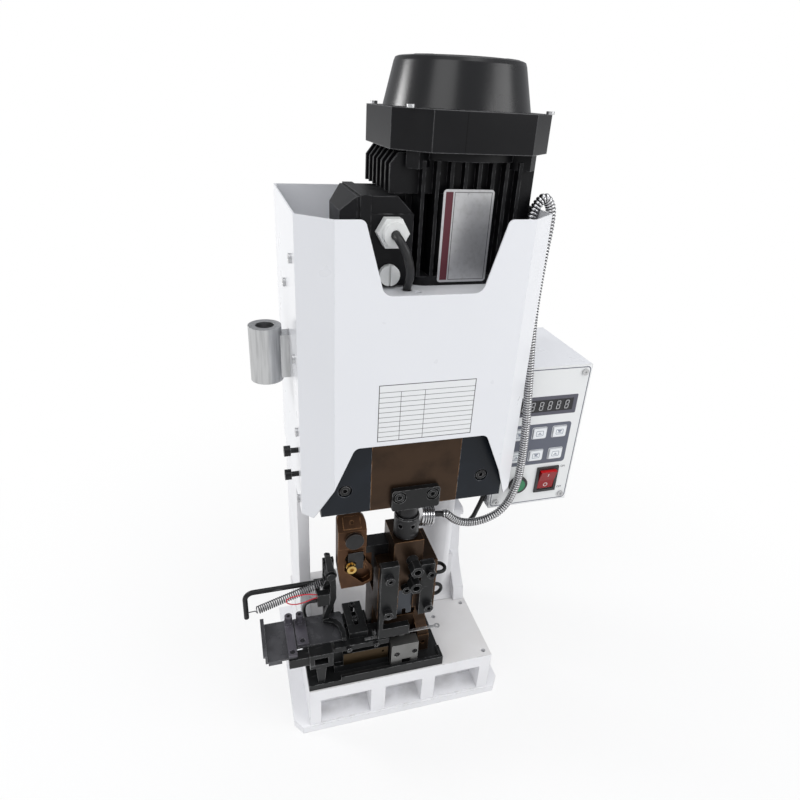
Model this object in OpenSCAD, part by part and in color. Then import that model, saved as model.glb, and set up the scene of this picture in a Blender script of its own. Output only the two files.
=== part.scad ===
// Bench press for crimping terminals: a vertical motor drives a crank through a worm,
// and the crank moves a ram that works a side-feed applicator on the base.
// Origin: underside of the base, below the ram axis. +X right, +Y back, +Z up.

/* [Base and columns] */
// Width of the base
base_w = 215; // [190:1:240]
// Reach of the base in front of the ram axis
base_front = 30; // [26:1:36]
// Reach of the base behind the ram axis
base_back = 151; // [140:1:170]
// Height of the base table
base_h = 64; // [58:1:72]
// Height of the foot flange
flange_h = 9; // [6:1:12]
// Reach of the flange beyond each side
flange_side = 17; // [10:1:20]
// Thickness of the table above the pockets
table_t = 17; // [12:1:20]
// Depth of the front pockets
pocket_d = 24; // [16:1:30]
// Radius of the tapped table holes
tap_r = 2.5; // [2:0.25:3]
// Thickness of the left column plate
plate_t = 12; // [9:1:15]
// Width of the front rib of the right column
rib_w = 13.5; // [10:0.5:16]
// Radius of the rounded neck of the right column
neck_r = 30; // [24:1:36]

/* [Head and covers] */
// Width over the covers
cover_w = 214; // [200:1:238]
// Width of the flat front of the front cover
face_w = 161; // [150:1:170]
// Height of the top rim of the covers
cover_top = 564.6; // [555:1:575]
// Height of the lower edge of the covers
cover_low = 289; // [287:0.5:290]
// Thickness of the cover sheet
sheet_t = 1.2; // [1:0.1:1.5]
// Height of the underside of the head
head_low = 291; // [290.5:0.5:293]
// Thickness of the motor deck
deck_t = 8; // [6:1:10]
// Height of the top of the motor deck
deck_z = 500; // [497:1:503]

/* [Ram and drive] */
// Width of the press ram
ram_w = 87; // [80:1:92]
// Stroke of the press ram
stroke = 30; // [24:1:30]
// Height of the crank axis
crank_z = 440; // [438:1:442]
// Distance from the crank axis to the motor axis
centre_d = 42; // [41.8:0.1:42.4]
// Distance of the motor axis behind the ram axis
motor_y = 68; // [66:1:70]
// Number of teeth on the worm wheel
wheel_n = 20; // [20:1:20]
// Radius of the crank shaft
crank_r = 14; // [12:0.5:15]
// Radius of the motor shaft
shaft_r = 7; // [6:0.5:7.5]

/* [Motor] */
// Width across the flats of the motor band
band_w = 137; // [130:1:142]
// Height of the motor band
band_h = 30; // [26:1:34]
// Height of the underside of the band
band_z = 608; // [604:1:610]
// Radius of the fan cover at its foot
fan_r = 62.9; // [60:0.1:64]
// Radius of the fan cover at its top
fan_top_r = 55; // [50:1:58]
// Height of the fan cover
fan_h = 37; // [32:1:42]
// Radius of the motor core
core_r = 45; // [43:1:47]
// Reach of the front fins from the motor axis
front_reach = 52; // [50:1:55]
// Thickness of a motor fin
fin_t = 3; // [2:0.25:3.5]

/* [Control box] */
// Width of the control box
box_w = 98.5; // [92:0.5:105]
// Height of the control box
box_h = 173; // [165:1:180]
// Depth of the control box
box_d = 112; // [100:1:120]
// Height of the underside of the control box
box_z = 231; // [226:1:236]
// Width of a keycap
key_w = 15; // [12:0.5:17]
// Height of a keycap
key_h = 12; // [9:0.5:14]
// Travel of a key
key_travel = 0.8; // [0.4:0.1:1.2]

/* [Applicator] */
// Width of the applicator base plate
app_w = 153.5; // [146:0.5:158]
// Depth of the applicator base plate
app_d = 76; // [72:1:77]
// Thickness of the applicator base plate
app_t = 8; // [6:1:10]
// Half width of the applicator ram
slider_hw = 15.8; // [14:0.2:16]
// Height of the applicator ram above the base underside, at its top
slider_top = 242; // [239:1:243]
// Radius of the adjusting dial
dial_r = 13; // [12:0.5:14]
// Height of the adjusting dial
dial_h = 25; // [22:0.5:26]
// Radius of the post
post_r = 8; // [7:0.5:9]
// Number of curls of the feed spring
curls = 40; // [20:1:45]
// Number of ribs of the lamp hose
ribs = 150; // [80:1:160]

/* [Reel arm sleeve] */
// Outer radius of the sleeve
sleeve_r = 15; // [12:0.5:17]
// Radius of the sleeve bore
sleeve_bore_r = 8.5; // [6:0.5:10]
// Length of the sleeve
sleeve_l = 53; // [46:1:60]

/* [Hidden] */

// Overrun of a cut beyond the face it opens
cut = 1;
// Gap between flat faces that slide past each other
slide_gap = 0.2;
// Radial clearance of a shaft in its bore
run_gap = 0.05;
// Gap between faces that move close by each other
near_gap = 0.4;
// Facets of round holes and shafts
$fn = 48;
// Facets of small rounded corners
corner_n = 24;
// Steps of a rounded corner of an outline
arc_n = 6;

// Box between two planes on each axis
module span(x, y, z) {
    translate([x[0], y[0], z[0]]) cube([x[1] - x[0], y[1] - y[0], z[1] - z[0]]);
}

// Round bars along each axis, between two planes
module bar_z(r, x, y, z) {
    translate([x, y, z[0]]) cylinder(r = r, h = z[1] - z[0]);
}

module bar_y(r, x, y, z) {
    translate([x, y[1], z]) rotate([90, 0, 0]) cylinder(r = r, h = y[1] - y[0]);
}

module bar_x(r, x, y, z) {
    translate([x[0], y, z]) rotate([0, 90, 0]) cylinder(r = r, h = x[1] - x[0]);
}

// Plate with an outline drawn in X and Z, between two planes in Y
module plate_y(y) {
    translate([0, y[1], 0]) rotate([90, 0, 0]) linear_extrude(height = y[1] - y[0]) children();
}

// Plate with an outline drawn in Y and Z, between two planes in X
module plate_x(x) {
    translate([x[0], 0, 0]) rotate([90, 0, 90]) linear_extrude(height = x[1] - x[0]) children();
}

// Plate with an outline drawn in X and Y, between two planes in Z
module plate_z(z) {
    translate([0, 0, z[0]]) linear_extrude(height = z[1] - z[0]) children();
}

// Flat rectangle between two limits on each axis, with rounded corners
module round_rect(x, y, r) {
    for (cx = [x[0] + r, x[1] - r], cy = [y[0] + r, y[1] - r])
        translate([cx, cy]) circle(r = r, $fn = corner_n);
    translate([x[0] + r, y[0]]) square([x[1] - x[0] - 2 * r, y[1] - y[0]]);
    translate([x[0], y[0] + r]) square([x[1] - x[0], y[1] - y[0] - 2 * r]);
}

// Cap screw whose head faces -Y: the shank starts at the seat and runs back
module cap_screw_y(x, seat, z, head_r, head_h, shank) {
    socket_r = 0.5 * head_r;
    difference() {
        bar_y(head_r, x, [seat - head_h, seat], z);
        translate([x, seat - 0.4 * head_h, z]) rotate([90, 0, 0])
            cylinder(r = socket_r, h = head_h, $fn = 6);
    }
    if (shank > 0) bar_y(0.5 * head_r, x, [seat, seat + shank], z);
}

// Pan head screw whose head faces along X: side is -1 for left, 1 for right
module pan_screw_x(side, seat, y, z) {
    difference() {
        bar_x(pan_r, side > 0 ? [seat, seat + pan_h] : [seat - pan_h, seat], y, z);
        bar_x(pan_slot_r, side > 0 ? [seat + 0.5 * pan_h, seat + pan_h + cut]
            : [seat - pan_h - cut, seat - 0.5 * pan_h], y, z);
    }
}

// Outline through points, each corner rounded with its own radius
function unit(v) = v / norm(v);
function corner_arc(a, b, c, r) =
    let (u = unit(a - b), v = unit(c - b), half = 0.5 * acos(u * v), m = b + unit(u + v) * r / sin(half),
        p = b + u * r / tan(half) - m, q = b + v * r / tan(half) - m,
        a0 = atan2(p[1], p[0]), turn = (atan2(q[1], q[0]) - a0 + 900) % 360 - 180)
    [for (k = [0 : arc_n]) m + r * [cos(a0 + turn * k / arc_n), sin(a0 + turn * k / arc_n)]];
function rounded(points, radii) =
    let (n = len(points))
    [for (i = [0 : n - 1]) each radii[i] > 0
        ? corner_arc(points[(i + n - 1) % n], points[i], points[(i + 1) % n], radii[i])
        : [points[i]]];

// Ring of points round one place of a route, square to its direction d;
// no part of the route runs along the direction away
function ring_at(p, d, r, n, away) =
    let (s = unit(cross(d, away)), u = cross(s, d))
    [for (k = [0 : n - 1]) p + r * (cos(360 * k / n) * s + sin(360 * k / n) * u)];

// Tube skin through a list of rings of n points, closed at both ends
module ring_skin(rings, n) {
    m = len(rings);
    pts = [for (ring = rings, p = ring) p];
    sides = [for (i = [0 : m - 2], k = [0 : n - 1]) let (a = i * n + k, b = i * n + (k + 1) % n)
        each [[a, b, a + n], [b, b + n, a + n]]];
    caps = [for (k = [1 : n - 2]) each [[0, k + 1, k],
        [(m - 1) * n, (m - 1) * n + k, (m - 1) * n + k + 1]]];
    polyhedron(points = pts, faces = concat(sides, caps));
}

// Place and direction along a smooth route through points
function spline(p, i, t) =
    let (a = p[max(i - 1, 0)], b = p[i], c = p[i + 1], d = p[min(i + 2, len(p) - 1)])
    0.5 * (2 * b + (c - a) * t + (2 * a - 5 * b + 4 * c - d) * t * t
        + (3 * b - a - 3 * c + d) * t * t * t);
function along(p, s) =
    let (q = min(s, 0.99999) * (len(p) - 1), i = floor(q)) spline(p, i, q - i);
share_step = 0.002;
function heading(p, s) =
    unit(along(p, min(s + share_step, 1)) - along(p, max(s - share_step, 0)));

// Round cable along a route
module cable(p, r, n, steps, away) {
    ring_skin([for (k = [0 : steps])
        ring_at(along(p, k / steps), heading(p, k / steps), r, n, away)], n);
}

// Base casting

half_w = 0.5 * base_w;
flange_front = 2;
flange_chamfer = 9;
flange_slant = 12;
pocket_floor = 10.6;
pocket_w = [57, 43.5, 55.5];
pocket_x = [-95, -21, 38.5];
table_hole_x = 100;
table_hole_y = [-22, 54];
third_hole = [58, 40];
table_hole_l = 20;

module base_casting() {
    fx = half_w + flange_side;
    fy = [-base_front - flange_front, base_back];
    color("whitesmoke") difference() {
        union() {
            span([-half_w, half_w], [-base_front, base_back], [flange_h, base_h]);
            plate_z([0, flange_h]) polygon([
                [-fx + flange_chamfer, fy[0]], [fx - flange_chamfer, fy[0]],
                [fx, fy[0] + flange_slant], [fx, fy[1]], [-fx, fy[1]],
                [-fx, fy[0] + flange_slant]]);
        }
        for (i = [0 : 2])
            span([pocket_x[i], pocket_x[i] + pocket_w[i]],
                [-base_front - cut, -base_front + pocket_d], [pocket_floor, base_h - table_t]);
        for (y = table_hole_y)
            bar_z(tap_r, table_hole_x, y, [base_h - table_hole_l, base_h + cut]);
        bar_z(tap_r, third_hole[0], third_hole[1], [base_h - table_hole_l, base_h + cut]);
    }
}

// Columns

inner_w = cover_w - 2 * sheet_t;
side_x = 0.5 * inner_w;
column_front = 48.5;
column_inset = 2;
column_back = base_back - column_inset;

module left_column() {
    color("whitesmoke")
        span([-side_x, plate_t - side_x], [column_front, column_back], [base_h, head_low]);
}

rib_foot_y = 60.5;
rib_step = 18;
rib_step_y = 64;
rib_waist = [[92.6, 129], [98, 166]];
rib_top = 188;
lug_y = 96;
lug_r = 6;
neck_reach = 55.8;
neck_x = side_x - neck_reach;
neck_w = 40;
neck_front = 75;
neck_corner_r = 12;
flare_h = 62;
flare_reach = 15;

// Hollow front edge of the rib: a low step, a long curve back, then a rounded lug
module rib_outline() {
    low = [rib_step_y, base_h + rib_step];
    waist = rib_waist[0];
    high = rib_waist[1];
    curve = [for (t = [0 : 0.125 : 1])
        [low[0] + (waist[0] - low[0]) * sin(90 * t), low[1] + (waist[1] - low[1]) * t]];
    polygon(concat([[column_back, base_h], [rib_foot_y, base_h]], curve,
        [high, [lug_y, rib_top - lug_r], [column_back, rib_top - lug_r]]));
    translate([lug_y, rib_top - lug_r]) circle(r = lug_r);
    translate([lug_y, rib_top - 2 * lug_r]) square([column_back - lug_y, 2 * lug_r]);
}

// Foot of the neck, which sweeps forward to the front of the rib
module flare_outline() {
    front = neck_front + 0.4 * neck_corner_r;
    curve = [for (t = [0 : 0.1 : 1])
        [front - flare_reach * (1 - sin(90 * t)), base_h + flare_h * (1 - cos(90 * t))]];
    polygon(concat([[column_back, base_h]], curve, [[column_back, base_h + flare_h]]));
}

// Waste of a rounded corner of the neck, seen from above
module neck_waste(x, r, side) {
    difference() {
        translate([side > 0 ? x - cut : x - r, neck_front - cut]) square([r + cut, r + cut]);
        translate([x + side * r, neck_front + r]) circle(r = r);
    }
}

module right_column() {
    color("whitesmoke") union() {
        plate_x([side_x - rib_w, side_x]) rib_outline();
        plate_z([base_h, head_low]) difference() {
            translate([neck_x, neck_front]) square([neck_w, column_back - neck_front]);
            neck_waste(neck_x, neck_r, 1);
            neck_waste(neck_x + neck_w, neck_corner_r, -1);
        }
        span([side_x - rib_w - neck_corner_r, side_x], [column_back - neck_r, column_back],
            [base_h, head_low]);
        plate_x([neck_x + 0.45 * neck_r, side_x - rib_w]) flare_outline();
    }
}

// Ram and head

ram_front = -18;
guide_back = -2;
tongue_back = 10;
tongue_reach = 10;
ram_over = 40;
ram_top = crank_z + ram_over;
head_inset = 3;
head_back = base_back - head_inset;
guide_margin = 16.3;
guide_w = 0.5 * (cover_w - ram_w) - slide_gap - guide_margin;
guide_top = 470;
wall_front = [26, 46];
wall_back = [90, 110];
disc_y = [12, 24];
disc_r = 24;
wheel_hw = 7;
pit_left = 40;
pit_right = 16;
wheel_r = 31;
tooth_out = 2.2;
tooth_in = 3;
bearing_r = 20;
foot_bearing_z = [385, 398];
shaft_collar = 3;

module head_casting() {
    channel = 0.5 * ram_w + tongue_reach + slide_gap;
    pit_x = [-pit_left, centre_d + pit_right];
    color("gainsboro") difference() {
        span([-side_x, side_x], [guide_back, head_back], [head_low, deck_z - deck_t]);
        span([-channel, channel], [guide_back - cut, tongue_back + slide_gap],
            [head_low - cut, deck_z]);
        bar_y(disc_r + 3 * near_gap, 0, [tongue_back, wall_front[0]], crank_z);
        span(pit_x, [wall_front[1], wall_back[0]], [foot_bearing_z[1], deck_z]);
        bar_y(bearing_r, 0, [wall_front[0] - cut, wall_back[1]], crank_z);
        bar_y(crank_r + near_gap, 0, [wall_back[1] - cut, wall_back[1] + 2 * shaft_collar], crank_z);
        bar_z(shaft_r + run_gap, centre_d, motor_y, [foot_bearing_z[0], foot_bearing_z[1] + cut]);
    }
}

guide_screw_x = 68;
guide_screw_z = [317, 385, 450];
big_head_r = 5;
big_head_h = 6;
sink_r = 6.6;
big_shank = 9;

module ram_guide_plates() {
    inner = 0.5 * ram_w + slide_gap;
    color("#1c242c") for (side = [-1, 1]) difference() {
        span(side > 0 ? [inner, inner + guide_w] : [-inner - guide_w, -inner],
            [ram_front, guide_back], [head_low, guide_top]);
        for (z = guide_screw_z) {
            bar_y(sink_r, side * guide_screw_x, [ram_front - cut, ram_front + big_head_h], z);
            bar_y(0.5 * big_head_r, side * guide_screw_x, [ram_front, guide_back + cut], z);
        }
    }
}

gib_y = 10;
gib_z = [324, 350];
gib_reach = 7;

// Applicator places that the screws need
app_x = [-half_w, app_w - half_w];
app_inset = 1.5;
app_y = [app_inset - base_front, app_inset - base_front + app_d];
app_z = base_h + app_t;
rim_t = 3.4;
rim_h = 4;
rim_x = -72;
cheek_front = -14.5;
guide_t = 8;
guide_y = [cheek_front - guide_t, cheek_front];
left_guide_x = [-30.5, -11.5];
right_guide_x = [13, 27.5];
left_guide_z = [145, 219];
right_guide_z = [145, 215];
left_screws = [[-22, 204], [-22, 156]];
right_screws = [[22.5, 204.5], [22.5, 157]];
track_y = [-19, -11];
track_x = [-78, -17];
track_z = [105, 112];
track_screws = [[-62, 108], [-32, 108.5]];
small_head_r = 3;
small_head_h = 3;
frame_cheek_l = [-31, -16];
frame_cheek_r = [16, 33];
anvil_y = [app_y[0] + rim_t + near_gap, -12];
anvil_x = [-15, 16];
anvil_z = [app_z, 104];
anvil_holes = [[-8.5, 90], [12, 90.5]];
screw_sink = 1;

module socket_screws() {
    color("#202225") {
        for (side = [-1, 1], z = guide_screw_z)
            cap_screw_y(side * guide_screw_x, ram_front + big_head_h, z, big_head_r,
                big_head_h - near_gap, big_shank);
        for (z = gib_z) {
            difference() {
                bar_x(big_head_r, [-0.5 * cover_w - gib_reach - big_head_h,
                    -0.5 * cover_w - gib_reach], gib_y, z);
                translate([-0.5 * cover_w - gib_reach - big_head_h - cut, gib_y, z])
                    rotate([0, 90, 0]) cylinder(r = 0.5 * big_head_r, h = 3 * cut, $fn = 6);
            }
            bar_x(0.5 * big_head_r, [-0.5 * cover_w - gib_reach, -side_x], gib_y, z);
        }
        for (p = concat(left_screws, right_screws))
            cap_screw_y(p[0], guide_y[0], p[1], big_head_r, big_head_h, guide_t);
        for (p = track_screws)
            cap_screw_y(p[0], track_y[0], p[1], small_head_r, small_head_h, 2 * small_head_h);
        for (p = anvil_holes)
            cap_screw_y(p[0], anvil_y[0] + small_head_h + screw_sink, p[1], small_head_r,
                small_head_h, 2 * small_head_h);
    }
}

// Covers

face_reach = 0.6;
face_y = -base_front - face_reach;
fold_y = -6.2;
notch_low_z = 506.5;
notch_low_hw = 41;
notch_top_hw = 57.5;
mouth_low_hw = 97;
mouth_top_hw = 62;
mouth_z = 370.5;
side_screws = [[16, 526], [70, 491], [11, 441], [7, 371], [9, 296]];
pan_r = 4;
pan_h = 2.4;
pan_slot_r = 1.3;
cover_back = base_back;
notch_round = 9;
mouth_round = 7;
rim_round = 5;

// Plan of the folded sheet, moved in by one distance
module cover_plan(inset) {
    hx = 0.5 * cover_w - inset;
    hf = 0.5 * face_w - inset * 0.4;
    polygon([[-hx, cover_back + cut], [-hx, fold_y + inset * 0.4], [-hf, face_y + inset],
        [hf, face_y + inset], [hx, fold_y + inset * 0.4], [hx, cover_back + cut]]);
}

// Opening with slanted sides, which runs out over one rim; all its corners are round
module slant_mouth(wide, narrow, z_wide, z_narrow, r, rim_r) {
    over = z_narrow > z_wide ? -2 * rim_r : 2 * rim_r;
    points = [[-narrow, z_narrow], [narrow, z_narrow], [wide, z_wide], [cover_w, z_wide],
        [cover_w, z_wide + over], [-cover_w, z_wide + over], [-cover_w, z_wide], [-wide, z_wide]];
    polygon(rounded(points, [r, r, rim_r, 0, 0, 0, 0, rim_r]));
}

module front_cover() {
    color("white") difference() {
        plate_z([cover_low, cover_top]) difference() {
            cover_plan(0);
            cover_plan(sheet_t);
            translate([-cover_w, cover_back]) square([2 * cover_w, 2 * cut]);
        }
        plate_y([face_y - cut, motor_y])
            slant_mouth(notch_top_hw, notch_low_hw, cover_top, notch_low_z, notch_round, rim_round);
        plate_y([face_y - cut, fold_y + 2 * sheet_t])
            slant_mouth(mouth_low_hw, mouth_top_hw, cover_low, mouth_z, mouth_round, 0.4 * rim_round);
        for (z = gib_z)
            bar_x(0.6 * big_head_r, [-0.5 * cover_w - cut, cut - side_x], gib_y, z);
    }
}

rear_t = sheet_t;
rim_reach = 12;
vent_z = [330, 350, 370];
vent_w = 70;
vent_h = 4;

module rear_cover() {
    y = [cover_back - rear_t, cover_back];
    color("white") difference() {
        union() {
            span([-side_x, side_x], y, [cover_low, cover_top]);
            for (side = [-1, 1])
                span(side > 0 ? [side_x - rear_t, side_x] : [-side_x, rear_t - side_x],
                    [y[0] - rim_reach, y[0]], [deck_z, cover_top]);
        }
        for (z = vent_z)
            plate_y([y[0] - cut, y[1] + cut]) translate([-0.5 * vent_w, z]) square([vent_w, vent_h]);
    }
}

// Motor

motor_x = centre_d;
band_half = 0.5 * band_w;
band_cut = 26;
fan_z = band_z + band_h;
body_low = deck_z;
flange_t = 8;
fin_low = body_low + flange_t;
fin_high = 601;
front_pitch = 12;
front_count = 8;
side_pitch = 14;
side_count = 7;
left_reach = 68;
left_fin_low = 575;
left_fin_high = 606;
right_reach = 59;
shield_r = 58;
rotor_r = 30;
cavity_gap = 1.5;
ear_reach = 74;
ear_hw = 6;
rotor_z = [516, 588];
name_x = [17.5, 62.5];
name_z = [503, 580];
name_corner = 3;
name_t = 0.8;
rivet_r = 1.4;

module motor_body() {
    mid_fin = 0.5 * (front_count - 1);
    side_fin = 0.5 * (side_count - 1);
    foot = motor_x - tbox_x[1];
    color("#151617") difference() {
        union() {
            bar_z(core_r, motor_x, motor_y, [body_low, band_z]);
            plate_z([body_low, fin_low])
                round_rect([motor_x - foot, motor_x + foot],
                    [motor_y - front_reach, motor_y + front_reach], 2 * flange_t);
            for (i = [0 : front_count - 1]) {
                x = motor_x + (i - mid_fin) * front_pitch;
                span([x - 0.5 * fin_t, x + 0.5 * fin_t],
                    [motor_y - front_reach, motor_y + front_reach], [fin_low, fin_high]);
            }
            for (i = [0 : side_count - 1]) {
                y = motor_y + (i - side_fin) * side_pitch;
                span([motor_x, motor_x + right_reach],
                    [y - 0.5 * fin_t, y + 0.5 * fin_t], [fin_low, fin_high]);
                plate_y([y - 0.5 * fin_t, y + 0.5 * fin_t]) polygon([
                    [motor_x, left_fin_low], [motor_x - left_reach, left_fin_low],
                    [motor_x - left_reach, left_fin_high - 0.13 * left_reach],
                    [motor_x - 0.9 * left_reach, left_fin_high], [motor_x, left_fin_high]]);
            }
            span([tbox_x[1], motor_x],
                [motor_y - 0.6 * core_r, motor_y + 0.6 * core_r], [fin_low, left_fin_low]);
            bar_z(shield_r, motor_x, motor_y, [fin_high, band_z]);
            for (a = [45, 135]) translate([motor_x, motor_y, 0]) rotate([0, 0, a])
                span([-ear_reach, ear_reach], [-ear_hw, ear_hw], [fin_high - ear_hw, band_z]);
        }
        bar_z(rotor_r + cavity_gap, motor_x, motor_y,
            [rotor_z[0] - cavity_gap, rotor_z[1] + cavity_gap]);
        bar_z(shaft_r + run_gap, motor_x, motor_y, [body_low - cut, fan_z]);
    }
}

wall_t = 2.5;

module octagon(half, corner) {
    polygon([[-half, corner - half], [corner - half, -half], [half - corner, -half],
        [half, corner - half], [half, half - corner], [half - corner, half],
        [corner - half, half], [-half, half - corner]]);
}

module motor_band() {
    color("#151617") difference() {
        plate_z([band_z, fan_z]) translate([motor_x, motor_y]) octagon(band_half, band_cut);
        bar_z(fan_r - wall_t, motor_x, motor_y, [band_z + wall_t, fan_z + cut]);
        bar_z(core_r - wall_t, motor_x, motor_y, [band_z - cut, fan_z]);
    }
}

vent_inner_r = 8;
vent_count = 5;
vent_step = 8;
vent_w2 = 4;
top_round = 4;

module fan_cover() {
    inner = fan_r - wall_t;
    inner_top = fan_top_r - wall_t;
    color("#1b1b1e") translate([motor_x, motor_y, fan_z]) difference() {
        rotate_extrude($fn = 96) polygon([
            [0, fan_h], [fan_top_r - top_round, fan_h],
            [fan_top_r - 0.3 * top_round, fan_h - 0.3 * top_round],
            [fan_top_r, fan_h - top_round], [fan_r, 0], [inner, 0],
            [inner_top, fan_h - wall_t], [0, fan_h - wall_t]]);
        for (i = [1 : vent_count], a = [0, 90, 180, 270])
            rotate([0, 0, a + 45]) translate([0, 0, fan_h - 2 * wall_t])
                rotate_extrude(angle = 70, $fn = 48)
                    translate([vent_inner_r + i * vent_step, 0]) square([vent_w2, 3 * wall_t]);
    }
}

tbox_x = [-43, -7];
tbox_y = [14, 88];
tbox_z = [502, 574];
tbox_slant = 13.5;
collar_w = 9;
collar_out = 1.2;
boss_t = 1.5;
lid_reach = 14;
lid_bevel = 13;
gland_at = [-26, 547];
plug_at = [-26.5, 511.5];
gland_r = 13.4;
gland_h = 10;
plug_r = 8.8;
cable_r = 3.6;

module terminal_box() {
    x = tbox_x;
    z = tbox_z;
    y = [tbox_y[0] + boss_t, tbox_y[1]];
    color("#17181a") difference() {
        union() {
            plate_y(y) polygon([[x[0], z[0]], [x[1], z[0]], [x[1], z[1] - tbox_slant],
                [x[1] - tbox_slant, z[1]], [x[0], z[1]]]);
            span(x, [tbox_y[0], y[1]], [z[0], z[1] - tbox_slant]);
            span([x[0] - collar_w, x[0]], [tbox_y[0] - collar_out, tbox_y[1] + collar_out],
                [z[0], z[1] + collar_out]);
        }
        span([x[0] - collar_w - cut, x[1] - 2 * wall_t], [y[0] + wall_t, y[1] - wall_t],
            [z[0] + wall_t, z[1] - tbox_slant - wall_t]);
        for (p = [gland_at, plug_at])
            bar_y(0.6 * plug_r, p[0], [tbox_y[0] - cut, tbox_y[0] + 3 * wall_t], p[1]);
    }
}

module terminal_box_lid() {
    x = tbox_x[0] - collar_w;
    inner = x - wall_t;
    outer = x - lid_reach;
    color("#2b2d30") difference() {
        hull() {
            span([inner, x], tbox_y, tbox_z);
            span([outer, inner], [tbox_y[0] + lid_bevel, tbox_y[1] - lid_bevel],
                [tbox_z[0] + lid_bevel, tbox_z[1] - lid_bevel]);
        }
        span([outer + wall_t, x + cut],
            [tbox_y[0] + lid_bevel + wall_t, tbox_y[1] - lid_bevel - wall_t],
            [tbox_z[0] + lid_bevel + wall_t, tbox_z[1] - lid_bevel - wall_t]);
    }
}

module box_fittings() {
    y = tbox_y[0];
    color("white") {
        difference() {
            union() {
                translate([gland_at[0], y, gland_at[1]]) rotate([90, 0, 0])
                    cylinder(r = gland_r, h = gland_h, $fn = 6);
                bar_y(0.72 * gland_r, gland_at[0], [y - 1.6 * gland_h, y - gland_h], gland_at[1]);
            }
            bar_y(cable_r + near_gap, gland_at[0], [y - 2 * gland_h, y + cut], gland_at[1]);
        }
        difference() {
            bar_y(plug_r, plug_at[0], [y - 0.5 * gland_h, y], plug_at[1]);
            span([plug_at[0] - 0.1 * plug_r, plug_at[0] + 0.1 * plug_r],
                [y - gland_h, y - 0.3 * gland_h], [plug_at[1] - plug_r, plug_at[1] + plug_r]);
        }
    }
}

// Cable routes: the motor cable, the cable of the control box and the sensor cable
motor_route = [[-26, 13, 547], [-26, 5, 547], [-26, -3, 547], [-24.2, -9.5, 543.5], [-19.5, -11.5, 535],
    [-15.5, -9, 524.5], [-12.8, -3.5, 514.5], [-12, 3, 507], [-12, 6, 501], [-12, 6, 494]];
box_route = [[110.5, 45, 243.5], [107, 45, 240], [104, 45, 231], [100.5, 45, 221], [97, 45.5, 211],
    [93, 50, 201], [89, 59, 194], [86, 68, 191.5], [85, 75, 191]];
sensor_route = [[-91.5, 9, 158], [-95, 9.5, 157.7], [-100, 15, 152], [-103, 24, 140], [-104, 31, 127],
    [-103, 34.5, 112], [-99, 36.5, 98], [-95, 37.5, 86], [-94, 37.5, 80], [-94, 37.5, 72.3]];

module cables() {
    color("#141414") {
        cable(motor_route, cable_r, 8, 24, [1, 0, 0]);
        cable(box_route, 0.75 * cable_r, 8, 18, [0, 1, 1]);
        cable(sensor_route, 0.6 * cable_r, 8, 26, [1, 0, 0]);
    }
}

module nameplate() {
    y = motor_y - front_reach;
    x_mid = 0.5 * (name_x[0] + name_x[1]);
    color("silver") {
        plate_y([y - name_t, y]) round_rect(name_x, name_z, name_corner);
        for (z = [name_z[0] + 3 * rivet_r, name_z[1] - 3 * rivet_r])
            bar_y(rivet_r, x_mid, [y - 2 * name_t, y - name_t], z);
    }
}

deck_hole = [-4, -1];
deck_hole_r = 3;
deck_gland = [-12, 6];

module motor_deck() {
    color("whitesmoke") difference() {
        span([-side_x, side_x], [face_y + sheet_t, cover_back - rear_t], [deck_z - deck_t, deck_z]);
        bar_z(bearing_r, centre_d, motor_y, [deck_z - 2 * deck_t, deck_z + cut]);
        bar_z(deck_hole_r, deck_hole[0], deck_hole[1], [deck_z - 2 * deck_t, deck_z + cut]);
        bar_z(cable_r + 2 * near_gap, deck_gland[0], deck_gland[1], [deck_z - 2 * deck_t, deck_z + cut]);
        for (side = [-1, 1])
            span(side > 0 ? [side_x - 0.5 * face_w * 0.4, side_x + cut]
                : [-side_x - cut, 0.5 * face_w * 0.4 - side_x],
                [face_y, fold_y + 4 * sheet_t], [deck_z - 2 * deck_t, deck_z + cut]);
    }
}

// Drive train

worm_r = centre_d - wheel_r;
pitch = 2 * PI * wheel_r / wheel_n;
worm_half = 24;
worm_z = [crank_z - worm_half, crank_z + worm_half];
thread_steps = 24;
thread_turns = 3;
throw_r = 0.5 * stroke;
pin_r = 5;
roller_r = 9;
slot_rise = 3.4;
slot_y = [-10.5, 8.5];

module worm_thread() {
    low = crank_z + pitch * 0.5 - 2 * pitch;
    start = 180;
    thick = [0.26 * pitch, 0.13 * pitch];
    out = worm_r + tooth_out;
    inner = worm_r - tooth_in - tooth_out * 0.2;
    rings = [for (k = [0 : thread_turns * thread_steps - 1])
        let (a = start + 360 * k / thread_steps, z = low + pitch * k / thread_steps)
        [[inner * cos(a), inner * sin(a), z - thick[0]], [out * cos(a), out * sin(a), z - thick[1]],
        [out * cos(a), out * sin(a), z + thick[1]], [inner * cos(a), inner * sin(a), z + thick[0]]]];
    translate([centre_d, motor_y, 0]) ring_skin(rings, 4);
}

fan_blades = 7;
blade_t = 2;
blade_low = 4;
blade_h = 18;

module motor_rotor() {
    hub_z = [fan_z + blade_low, fan_z + blade_low + blade_h];
    color("silver") union() {
        bar_z(shaft_r, centre_d, motor_y, [foot_bearing_z[0] + cut, hub_z[1]]);
        bar_z(worm_r - tooth_in, centre_d, motor_y, worm_z);
        worm_thread();
        bar_z(rotor_r, centre_d, motor_y, rotor_z);
        bar_z(2 * shaft_r, centre_d, motor_y, hub_z);
        for (i = [0 : fan_blades - 1])
            translate([centre_d, motor_y, 0]) rotate([0, 0, 360 * i / fan_blades])
                span([shaft_r, fan_top_r - 4 * wall_t], [-0.5 * blade_t, 0.5 * blade_t], hub_z);
    }
}

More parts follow.
